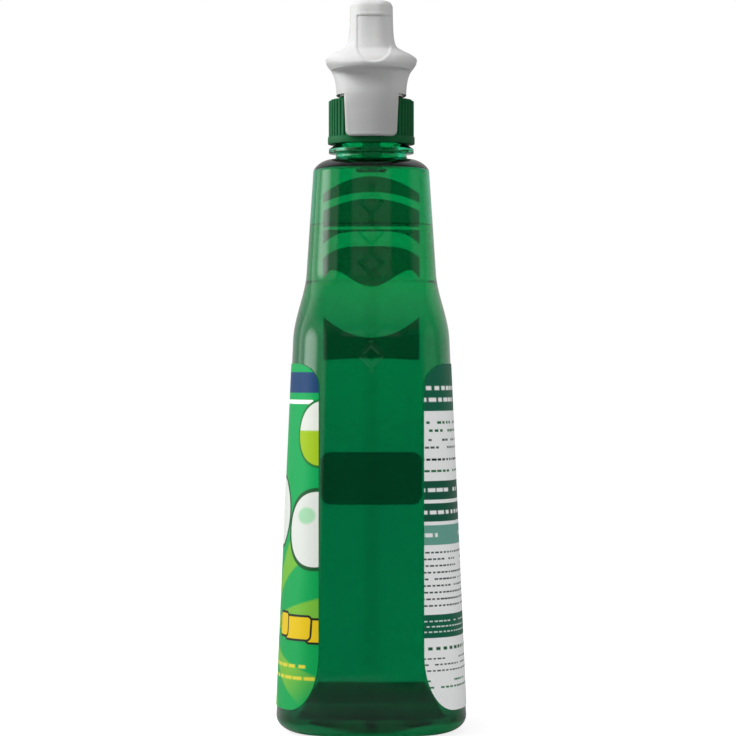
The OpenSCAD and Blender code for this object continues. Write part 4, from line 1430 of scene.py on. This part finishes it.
# --------------------------------------------------------------------- shroud
@dataclass
class Shroud:
    """White cover: skirt, saddle with its lip, column, nose and hanging tab."""

    z: float = 249.95
    height: float = 36.85
    saddle: float = 14.0
    column_w: float = 17.1
    skirt_w: float = 27.7
    saddle_w: float = 36.2
    saddle_back: float = 27.2
    column_back: float = 19.0
    nose: float = 36.4
    wall: float = 1.15
    middle: float = 4.0
    around: int = 220
    tab_low: float = 233.1
    tab_half: tuple[float, float] = (10.0, 10.7)
    tab_corner: float = 2.3
    tab_r: tuple[float, float] = (17.56, 18.96)
    panel_half: float = 6.85
    panel_top: float = 280.4
    panel_low: float = 268.1
    works_half: float = 9.0
    works_top: float = 267.48
    slot_half: float = 6.9
    slot_low: float = 259.5
    barrel_z: float = 276.15
    barrel_r: float = 4.3

    def table(self) -> np.ndarray:
        """Height, front, back, half width and squareness at the back and front."""
        s, c, k, w = self.saddle, self.column_w / 2, self.skirt_w / 2, self.saddle_w / 2
        b, cb, f, h = self.saddle_back, self.column_back, self.nose, self.height
        return np.array([
            [0, 15, 19.2, k, 2.6, 2.6],
            [0.9, 15.05, 19.17, k + 0.02, 2.6, 2.6],
            [s * 0.22, 15.4, 18.6, k + 0.15, 2.6, 2.6],
            [s * 0.47, 16, 17.6, mix(k, w, 0.17), 2.5, 2.5],
            [s * 0.61, 16.5, 17.0, mix(k, w, 0.33), 2.4, 2.4],
            [s * 0.665, 17, 17.8, mix(k, w, 0.43), 2.4, 2.4],
            [s * 0.69, 17.2, b - 1.4, mix(k, w, 0.48), 2.4, 2.4],
            [s * 0.73, 18, b - 0.4, mix(k, w, 0.58), 2.3, 2.4],
            [s * 0.81, 18.6, b, mix(k, w, 0.78), 2.3, 2.4],
            [s * 0.9, 19.4, b - 0.5, mix(k, w, 0.94), 2.3, 2.4],
            [s, 20.6, b - 1.6, w, 2.3, 2.5],
            [s + 0.8, 21.6, b - 2.6, mix(w, c, 0.07), 2.4, 2.5],
            [s + 1.7, 23.2, b - 3.8, mix(w, c, 0.22), 2.5, 2.7],
            [s + 2.6, 27, b - 5, mix(w, c, 0.42), 2.6, 3],
            [s + 3.5, f - 3, mix(b - 6, cb + 2.4, 0.5), mix(w, c, 0.62), 2.7, 4],
            [s + 4.6, f - 0.6, cb + 1.9, mix(w, c, 0.81), 2.9, 6],
            [s + 6.2, f, cb + 1.4, mix(w, c, 0.9), 3, 8],
            [s + 8.4, f, cb + 0.9, mix(w, c, 0.95), 3.1, 8],
            [s + 12, f, cb + 0.4, mix(w, c, 0.985), 3.2, 8],
            [h - 5.6, f, cb, c, 3.2, 8],
            [h - 2.4, f - 0.2, cb - 0.4, c - 0.05, 3.2, 8],
            [h - 0.9, f - 0.7, cb - 1.3, c - 0.6, 3, 7],
            [h - 0.2, f - 1.8, cb - 2.6, c - 1.9, 2.8, 6],
            [h, f - 3.4, cb - 4.4, c - 3.4, 2.6, 6],
        ])

    def ring(self, row: np.ndarray, dense: bool) -> np.ndarray:
        """One ring of the cover, closer spaced at its back where asked."""
        z, front, back, half, n_back, n_front = row
        t = np.linspace(-math.pi, math.pi, 1601)
        rear = np.cos(t) >= 0
        power = np.where(rear, 2 / n_back, 2 / n_front)
        reach = np.where(rear, back - self.middle, front + self.middle)
        x = self.middle + reach * np.sign(np.cos(t)) * np.abs(np.cos(t)) ** power
        y = half * np.sign(np.sin(t)) * np.abs(np.sin(t)) ** power
        weight = 1 + 2.2 * smooth((x - 8) / 4) * smooth((9.5 - np.abs(y)) / 2) if dense else None
        line = respace(np.column_stack([x, y]), self.around + 1, weight)[:-1]
        return np.column_stack([line, np.full(self.around, z)])

    def panel(self, ring: np.ndarray) -> np.ndarray:
        """Sinks the U-shaped panel in the column's back and leaves its rim."""
        half, top, low = self.panel_half, self.panel_top, self.panel_low
        # the panel sits a little off the middle in the photograph
        y, z = ring[:, 1] - 0.9, ring[:, 2]
        side = np.abs(y) - half
        round_end = np.hypot(y, z - low) - half
        edge = np.where(z < low, round_end, np.maximum(side, z - top))
        sink = 0.5 * smooth(-edge / 0.8) - 0.14 * smooth(1 - np.abs(edge - 0.5) / 0.9)
        seam = 0.6 * smooth(1 - np.abs(z - top + 0.25) / 0.45) * smooth((half - 0.3 - np.abs(y)) / 0.5)
        at_back = (ring[:, 0] > 12.0) & (z > 259.5)
        made = ring.copy()
        made[:, 0] -= np.where(at_back, sink + seam, 0.0)
        return made

    def cover(self) -> Piece:
        """Outer cover with its hollow and the openings for lever and barrel."""
        table = self.table()
        fine = np.concatenate([
            np.linspace(0, 9.2, 14), np.linspace(9.3, 13.9, 24), np.linspace(14.0, 32.2, 56),
            np.linspace(32.5, self.height, 16),
        ])
        rows = through(table[:, 0], table[:, 1:], fine)
        rows = np.column_stack([fine + self.z, rows])
        rings = [self.panel(self.ring(row, True)) for row in rows]
        obj = build("shroud_cover", *loft(np.stack(rings)), sharp=40.0)
        hollow_back = self.column_back - self.wall - 0.2
        inner = table.copy()
        inner[:, 1] = np.minimum(inner[:, 1] - self.wall, self.nose - self.wall - 0.3)
        inner[:, 2] = np.minimum(inner[:, 2] - self.wall, hollow_back)
        inner[:, 3] -= self.wall
        inner = inner[:-2:2]
        inner[-1, 0] -= self.wall
        first = inner[0].copy()
        first[0] = -2.0
        inner = np.vstack([first, inner])
        inner[:, 0] += self.z
        hollow = loft(np.stack([self.ring(row, False) for row in inner]))
        cut(
            obj,
            [
                hollow,
                block((-30, -self.works_half, self.z - 2), (-6, self.works_half, self.works_top)),
                block((2.2 - self.nose, -self.slot_half, self.slot_low), (-14.0, self.slot_half, self.barrel_z)),
                rod_along_x(-self.nose - 2, -self.nose + 8, self.barrel_r, self.barrel_z),
            ],
            40.0,
        )
        return obj

    def tab(self) -> Body:
        """Tab that hangs over the collar, flowing out of the skirt above it."""
        across, rise = 61, 66
        v = np.linspace(self.tab_low, 253.2, rise)
        rows = []
        for z in v:
            down = max(0.0, self.tab_low + self.tab_corner - z)
            cornered = self.tab_corner - math.sqrt(max(0.0, self.tab_corner**2 - down**2))
            half = mix(*self.tab_half, (z - self.tab_low) / 15.5) - cornered * 0.98
            rows.append((z, min(half, self.tab_half[1])))
        outer, inner = [], []
        for z, half in rows:
            y = half * np.sin(np.linspace(-math.pi / 2, math.pi / 2, across))
            ring = np.sqrt(self.tab_r[1] ** 2 - y**2)
            bow = (1 - (np.abs(y) / (self.skirt_w / 2)) ** 2.6) ** (1 / 2.6)
            skirt = self.middle + 15.2 * bow + 0.03
            out = mix(ring, skirt, smooth((z - 243.5) / 6.5)) - 0.9 * smooth((z - 250.2) / 2.5)
            # rolled rim round the free edges
            rim = np.minimum(half - np.abs(y), z - self.tab_low)
            out = out - 0.45 * (1 - smooth(rim / 0.7)) ** 2 + 0.12 * smooth(1 - np.abs(rim - 1.0) / 0.8)
            back = np.sqrt(self.tab_r[0] ** 2 - y**2)
            outer.append(np.column_stack([out, y, np.full(across, z)]))
            inner.append(np.column_stack([back, y, np.full(across, z)]))
        return film([np.stack(outer), np.stack(inner)])

    def dress(self, palette: Palette) -> None:
        """Builds cover and tab and places them on the sprayer."""
        cover = dress(self.cover(), palette.white, "sprayer")
        tab = dress(build("shroud_tab", *self.tab(), 50.0), palette.white, "sprayer")
        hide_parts("shroud")
        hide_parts("shroud")


# -------------------------------------------------------------------- trigger
@dataclass
class Trigger:
    """Lever with a finger side, two flanges, ears on the pivot and a pad."""

    width: float = 13.2
    wall: float = 1.6
    pivot: tuple[float, float] = (-19.0, 277.15)
    barrel_z: float = 276.15
    barrel_r: float = 5.2
    pump_z: float = 259.525
    drop: float = 33.5
    pad_x: float = -24.3
    pin_r: float = 1.6
    fit: float = 0.05

    def lines(self) -> tuple[np.ndarray, np.ndarray]:
        """Finger side and back of the lever, x and z, top first."""
        p, d, top = self.pump_z, self.drop, self.barrel_z - self.barrel_r
        front = np.array([
            [-30.4, top], [-30.6, p + 8], [-29.9, p + 2], [-30.2, p - 0.12 * d], [-31.7, p - 0.3 * d],
            [-34.4, p - 0.493 * d], [-38.2, p - 0.687 * d], [-42.4, p - 0.848 * d], [-45.2, p - 0.93 * d],
            [-45.5, p - 0.985 * d],
        ])
        back = np.array([
            [self.pad_x, top], [self.pad_x, p + 8], [self.pad_x, p + 2], [-24.6, p - 0.137 * d],
            [-27.9, p - 0.328 * d], [-30.6, p - 0.496 * d], [-34.2, p - 0.705 * d], [-37.8, p - 0.884 * d],
            [-41.4, p - 0.965 * d], [-43.6, p - 0.99 * d],
        ])
        knots = np.linspace(0, 1, len(front))
        fine = np.linspace(0, 1, 70)
        return through(knots, front, fine), through(knots, back, fine)

    def section(self, depth: float, half: float) -> np.ndarray:
        """Channel section: distance from the finger side and y of each point."""
        r, w = min(2.0, depth * 0.4), min(self.wall, depth * 0.45)
        points = []
        for a in np.linspace(0, math.pi / 2, 6):
            points.append((r - r * math.cos(a), -half + r - r * math.sin(a)))
        flange = w / 2
        for a in np.linspace(-math.pi / 2, math.pi / 2, 6):
            points.append((depth - flange + flange * math.cos(a), -half + flange + flange * math.sin(a)))
        points.append((w, -half + w + 0.3))
        points.append((w, half - w - 0.3))
        for a in np.linspace(-math.pi / 2, math.pi / 2, 6):
            points.append((depth - flange + flange * math.cos(a), half - flange + flange * math.sin(a)))
        for a in np.linspace(math.pi / 2, 0, 6):
            points.append((r - r * math.cos(a), half - r + r * math.sin(a)))
        return np.array(points)

    def lever(self) -> Body:
        """Channel-shaped lever that narrows a little towards its tip."""
        front, back = self.lines()
        rings = []
        for i, (f, b) in enumerate(zip(front, back)):
            depth = float(np.linalg.norm(b - f))
            axis = (b - f) / max(depth, 1e-6)
            half = self.width / 2 - 0.9 * float(smooth((i / (len(front) - 1) - 0.82) / 0.18))
            shape = self.section(depth, half)
            xz = f + shape[:, :1] * axis
            rings.append(np.column_stack([xz[:, 0], shape[:, 1], xz[:, 1]]))
        return loft(np.stack(rings))

    def ears(self) -> list[Body]:
        """Two plates that carry the lever on the pivot pins."""
        px, pz = self.pivot
        t = np.linspace(math.radians(-50), math.radians(190), 26)
        crown = np.column_stack([px + 3.6 * np.cos(t), pz + 3.6 * np.sin(t)])
        top = self.barrel_z - self.barrel_r
        foot = [
            [-30.4, top - 1.0], [-29.0, top - 4.0], [self.pad_x - 0.6, top - 4.0], [self.pad_x + 2.6, top - 1.5],
        ]
        outline = np.vstack([crown, foot])
        half = self.width / 2
        return [plate(outline, -half, -half + 2.0), plate(outline, half - 2.0, half)]

    def dress(self, palette: Palette) -> None:
        """Builds the lever and places it on its body."""
        ears = build("trigger_ears", *join(self.ears()))
        soften(ears, 0.45)
        t = np.linspace(0, 2 * math.pi, 40, endpoint=False)
        hole_r = self.pin_r + self.fit
        hole = np.column_stack([self.pivot[0] + hole_r * np.cos(t), self.pivot[1] + hole_r * np.sin(t)])
        cut(ears, [plate(hole, -self.width, self.width)])
        pad = build("trigger_pad", *block((-29.4, -3.6, self.pump_z - 4.6), (self.pad_x, 3.6, self.pump_z + 4.4)))
        soften(pad, 0.6)
        lever = build("trigger_lever", *self.lever(), sharp=45.0)
        for piece in (lever, ears, pad):
            dress(piece, palette.green, "trigger_lever")
            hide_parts("trigger")


@dataclass
class Nozzle:
    """Square turning nozzle with a dished mouth and ribbed sides."""

    x0: float = -51.0
    x1: float = -37.0
    half: float = 7.0
    z: float = 276.15
    bore_r: float = 4.65
    floor_x: float = -42.35

    def body(self) -> Piece:
        """Nozzle from the mouth, over the sides and into the bore."""
        a, b, h, bore = self.x0, self.x1, self.half, self.bore_r
        # x, radius and squareness, from the bottom of the orifice outwards
        rows = [
            (a + 7.9, 0.46, 2.0), (a + 2.0, 0.46, 2.0), (a + 1.9, 0.9, 2.0), (a + 1.1, 2.0, 2.0),
            (a + 0.3, 3.1, 2.0), (a, 3.5, 2.0), (a, 5.3, 2.0), (a + 0.12, 5.65, 2.1), (a + 0.4, 5.85, 2.3),
            (a + 0.9, 6.2, 3.0), (a + 1.3, 6.6, 4.2), (a + 1.9, 6.88, 5.6), (a + 2.6, h, 6.4), (a + 3.5, h, 6.4),
            (b - 0.5, h, 6.4), (b - 0.15, 6.9, 6.2), (b, 6.6, 6.0), (b, 4.95, 2.0), (b - 0.3, bore, 2.0),
            (self.floor_x, bore, 2.0), (self.floor_x, 0.5, 2.0),
        ]
        rings = []
        t = np.linspace(0, 2 * math.pi, 801)
        for x, r, n in rows:
            line = np.column_stack([r * signed_power(np.cos(t), 2 / n), r * signed_power(np.sin(t), 2 / n)])
            line = respace(line, 121)[:-1]
            rings.append(np.column_stack([np.full(120, x), line[:, 0], self.z + line[:, 1]]))
        return build("nozzle_body", *loft(np.stack(rings)), sharp=34.0)

    def grips(self, obj: Piece, material: Material) -> Piece:
        """Adds fine grip ribs along the four sides.

        Args:
            obj: The nozzle's body.
            material: Its finish.

        Returns:
            The nozzle with its ribs as one plain mesh.
        """
        g = Grower(
            "nozzle grips",
            {"Rib Count": 5, "Side Offset": (self.half - 0.12) * MM, "Rib Pitch": 1.7 * MM, "Rib Radius": 0.3 * MM,
             "Rib Length": 8.6 * MM, "Rib Start": (self.x0 + 3.9) * MM, "Axis Height": self.z * MM},
        )
        rod = g.node("GeometryNodeCurvePrimitiveLine")
        tip = g.node("ShaderNodeCombineXYZ", {0: g.size("Rib Length")})
        g.tree.links.new(tip.outputs[0], rod.inputs["End"])
        fine = g.node("GeometryNodeResampleCurve", {"Curve": rod.outputs[0], "Count": 12})
        along = g.node("GeometryNodeSplineParameter")
        ends = (Field(g.tree, along.outputs[0]).near(0.5, 0.5) * -12.0).math("MINIMUM", 1.0).math("MAXIMUM", 0.0)
        shaped = g.node(
            "GeometryNodeSetCurveRadius", {"Curve": fine.outputs[0], "Radius": ends.math("POWER", 0.5) * 0.9 + 0.1}
        )
        wire = g.node("GeometryNodeCurvePrimitiveCircle", {"Resolution": 8, "Radius": g.size("Rib Radius")})
        rib = g.node(
            "GeometryNodeCurveToMesh",
            {"Curve": shaped.outputs[0], "Profile Curve": wire.outputs[0], "Fill Caps": True},
        )
        row = g.node("GeometryNodeMeshLine", {"Count": g.size("Rib Count")})
        step = g.node("ShaderNodeCombineXYZ", {1: g.size("Rib Pitch")})
        aside = (g.size("Rib Count") - 1.0) * -0.5 * g.size("Rib Pitch")
        first = g.node("ShaderNodeCombineXYZ", {0: g.size("Rib Start"), 1: aside, 2: g.size("Side Offset")})
        g.tree.links.new(first.outputs[0], row.inputs["Start Location"])
        g.tree.links.new(step.outputs[0], row.inputs["Offset"])
        side = g.node("GeometryNodeInstanceOnPoints", {"Points": row.outputs[0], "Instance": rib.outputs[0]})
        all_sides = g.node("GeometryNodeJoinGeometry")
        lift = g.node("ShaderNodeCombineXYZ", {2: g.size("Axis Height")})
        for quarter in range(4):
            turned = g.node(
                "GeometryNodeTransform",
                {"Geometry": side.outputs[0], "Rotation": (quarter * math.pi / 2, 0.0, 0.0)},
            )
            placed = g.node(
                "GeometryNodeTransform", {"Geometry": turned.outputs[0], "Translation": lift.outputs[0]}
            )
            g.tree.links.new(placed.outputs[0], all_sides.inputs[0])
        g.tree.links.new(g.entry.outputs[0], all_sides.inputs[0])
        g.grow(obj, all_sides.outputs[0], material)
        tidy(obj, 34.0)
        return obj

    def dress(self, palette: Palette) -> None:
        """Builds the nozzle and places it on its body."""
        cap = dress(self.grips(self.body(), palette.green), palette.green, "nozzle")
        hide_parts("nozzle_cap")


@dataclass
class PumpWorks:
    """Inner works of the sprayer: their solids stay, and get their finishes."""

    nodes: dict[str, Piece]
    tube_r: float = 2.8
    tube_wall: float = 0.7
    tube_low: float = 10.1
    tube_high: float = 230.6

    def tube(self) -> Piece:
        """Dip tube with a smooth wall and slightly eased ends."""
        out, inn = self.tube_r, self.tube_r - self.tube_wall
        profile = [
            (out, self.tube_low + 0.15), *[(out, z) for z in np.linspace(20, 220, 21)], (out, self.tube_high - 0.15),
            (out - 0.15, self.tube_high), (inn + 0.15, self.tube_high), (inn, self.tube_high - 0.15),
            *[(inn, z) for z in np.linspace(220, 20, 21)], (inn, self.tube_low + 0.15), (inn + 0.15, self.tube_low),
            (out - 0.15, self.tube_low),
        ]
        return build("dip_tube_wall", *lathe(profile, 72))

    def dress(self, palette: Palette) -> None:
        """Gives every solid that stays its material."""
        tube = dress(self.tube(), palette.tube, "sprayer")
        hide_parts("dip_tube")
        finishes = {
            "pump_body": palette.natural, "neck_gasket": palette.liner, "tube_retainer": palette.natural,
            "vent_valve": palette.rubber, "outlet_valve": palette.rubber, "nozzle_seal": palette.rubber,
            "spinner": palette.natural, "piston": palette.natural, "piston_seal": palette.rubber,
            "return_spring": palette.steel, "inlet_ball": palette.steel,
        }
        for name, material in finishes.items():
            mesh = self.nodes[name].data
            mesh.materials.clear()
            mesh.materials.append(material)
            LOG.info("%s: solid kept, %s", name, material.name)


# --------------------------------------------------------------------- studio
@dataclass
class Lamp:
    """One soft box: where it stands, how wide it is and how bright."""

    name: str
    place: tuple[float, float, float]
    size: tuple[float, float]
    power: float
    aim: tuple[float, float, float] = (0.0, 0.0, 0.16)

    def hang(self) -> None:
        """Adds the lamp, turned towards its aim."""
        light = bpy.data.lights.new(self.name, "AREA")
        light.shape = "RECTANGLE"
        light.size, light.size_y = self.size
        light.energy = self.power
        obj = bpy.data.objects.new(self.name, light)
        # soft light only: what gloss mirrors is drawn by the room
        obj.visible_glossy = False
        obj.visible_transmission = False
        obj.location = self.place
        obj.rotation_euler = (Vector(self.aim) - Vector(self.place)).to_track_quat("-Z", "Y").to_euler()
        bpy.context.scene.collection.objects.link(obj)


@dataclass
class Studio:
    """White studio: floor, backdrop light, soft boxes and the camera."""

    distance: float = 1.300
    eye: float = 0.1421
    aside: float = -0.0013
    field_width: float = 0.2924
    lamps: tuple[Lamp, ...] = (
        Lamp("key_box", (0.33, -1.2, 1.05), (0.6, 0.9), 24.0),
        Lamp("fill_box", (1.0, 1.1, 0.12), (0.6, 0.9), 7.0),
        Lamp("top_box", (-0.1, -0.1, 1.3), (0.7, 0.7), 2.0),
    )

    def world(self) -> None:
        """White seen directly and through glass, a dim room on the lens side."""
        world = bpy.data.worlds.new("white_room")
        bpy.context.scene.world = world
        world.use_nodes = True
        tree = world.node_tree
        tree.nodes.clear()
        path = add_node(tree, "ShaderNodeLightPath")
        seen = Field(tree, path.outputs["Is Camera Ray"])
        through_glass = Field(tree, path.outputs["Is Transmission Ray"])
        shiny = Field(tree, path.outputs["Is Glossy Ray"])
        way = add_node(tree, "ShaderNodeTexCoord")
        parts = add_node(tree, "ShaderNodeSeparateXYZ", {0: way.outputs["Generated"]})
        x, y, z = (Field(tree, out) for out in parts.outputs)
        # what gloss mirrors: white behind, a tall box on the left, a faint one on the
        # right, a small one above the lens and a dark room elsewhere
        left = (y.ramp(-0.62, -0.72) * 0.8 + y.ramp(-0.88, -0.99) * 5.0) * x.ramp(-0.98, -0.8) * z.ramp(0.75, 0.45)
        small = (y.math("ABSOLUTE") - x * 0.28).inside(0.06) * z.near(0.35, 0.14).inside(0.08) * x.ramp(0.3, 0.5)
        mirrored = x.ramp(-0.2, -0.7) * 0.4 + left + y.ramp(0.78, 0.95) * x.ramp(-0.5, 0.0) * 0.5
        mirrored = mirrored + small * 0.35 + 0.02 + z.ramp(0.3, 0.9) * 0.3
        mask = seen.math("MAXIMUM", through_glass)
        ambient = z.ramp(-0.1, 0.9) * 0.32 + 0.36
        strength = ambient + shiny * (mirrored - ambient)
        strength = strength + mask * (strength * -1.0 + 1.0)
        light = add_node(tree, "ShaderNodeBackground", {"Color": (1.0, 1.0, 1.0, 1.0), "Strength": strength})
        add_node(tree, "ShaderNodeOutputWorld", {"Surface": light.outputs[0]})

    def floor(self) -> None:
        """Pale floor that keeps the object's shadow and fades into the white."""
        verts = np.array([[-2500.0, -2500.0, 0.0], [2500, -2500, 0], [2500, 2500, 0], [-2500, 2500, 0]])
        floor = build("studio_floor", verts, [[0, 1, 2, 3]])
        made = bpy.data.materials.new("painted_floor")
        made.use_nodes = True
        tree = made.node_tree
        tree.nodes.clear()
        path = add_node(tree, "ShaderNodeLightPath")
        place = add_node(tree, "ShaderNodeTexCoord")
        away = add_node(tree, "ShaderNodeVectorMath", {0: place.outputs["Object"]}, operation="LENGTH")
        # painted shadow: the ground right under the bottle is darker where it is seen through glass
        lit = Field(tree, away.outputs["Value"]).ramp(0.05, 0.2)
        seen = Field(tree, path.outputs["Is Camera Ray"])
        seen = seen.math("MAXIMUM", Field(tree, path.outputs["Is Transmission Ray"]) * lit)
        paint = add_node(tree, "ShaderNodeBsdfDiffuse", {"Color": (0.3, 0.3, 0.3, 1.0)})
        glow = add_node(tree, "ShaderNodeEmission", {"Color": (1.0, 1.0, 1.0, 1.0), "Strength": seen * 0.82})
        both = add_node(tree, "ShaderNodeAddShader", {0: paint.outputs[0], 1: glow.outputs[0]})
        add_node(tree, "ShaderNodeOutputMaterial", {"Surface": both.outputs[0]})
        floor.data.materials.append(made)

    def camera(self) -> None:
        """Level camera on +X, at the height where the photograph's lines meet."""
        lens = bpy.data.cameras.new("camera")
        lens.sensor_width = 36.0
        lens.lens = 36.0 * self.distance / self.field_width
        lens.clip_start, lens.clip_end = 0.05, 20.0
        obj = bpy.data.objects.new("camera", lens)
        obj.location = (self.distance, self.aside, self.eye)
        obj.rotation_euler = (math.pi / 2, 0.0, math.pi / 2)
        bpy.context.scene.collection.objects.link(obj)
        bpy.context.scene.camera = obj

    def set_up(self) -> None:
        """Builds the studio and sets the view."""
        self.camera()
        self.world()
        self.floor()
        for lamp in self.lamps:
            lamp.hang()
        bpy.context.scene.view_settings.view_transform = "Standard"
        LOG.info("studio: %d lamps, lens %.0f mm", len(self.lamps), bpy.context.scene.camera.data.lens)


def main() -> None:
    """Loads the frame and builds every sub-assembly."""
    logging.basicConfig(level=logging.INFO, format="%(name)s: %(message)s")
    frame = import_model()
    Studio().set_up()
    palette = Palette()
    form = BottleForm()
    makers: list[Callable[[Palette], None]] = [
        Bottle(form).dress,
        Labels(form).dress,
        Collar().dress,
        Shroud().dress,
        Trigger().dress,
        Nozzle().dress,
        PumpWorks(frame["nodes"]).dress,
    ]
    for make in makers:
        make(palette)


if __name__ == "__main__":
    main()
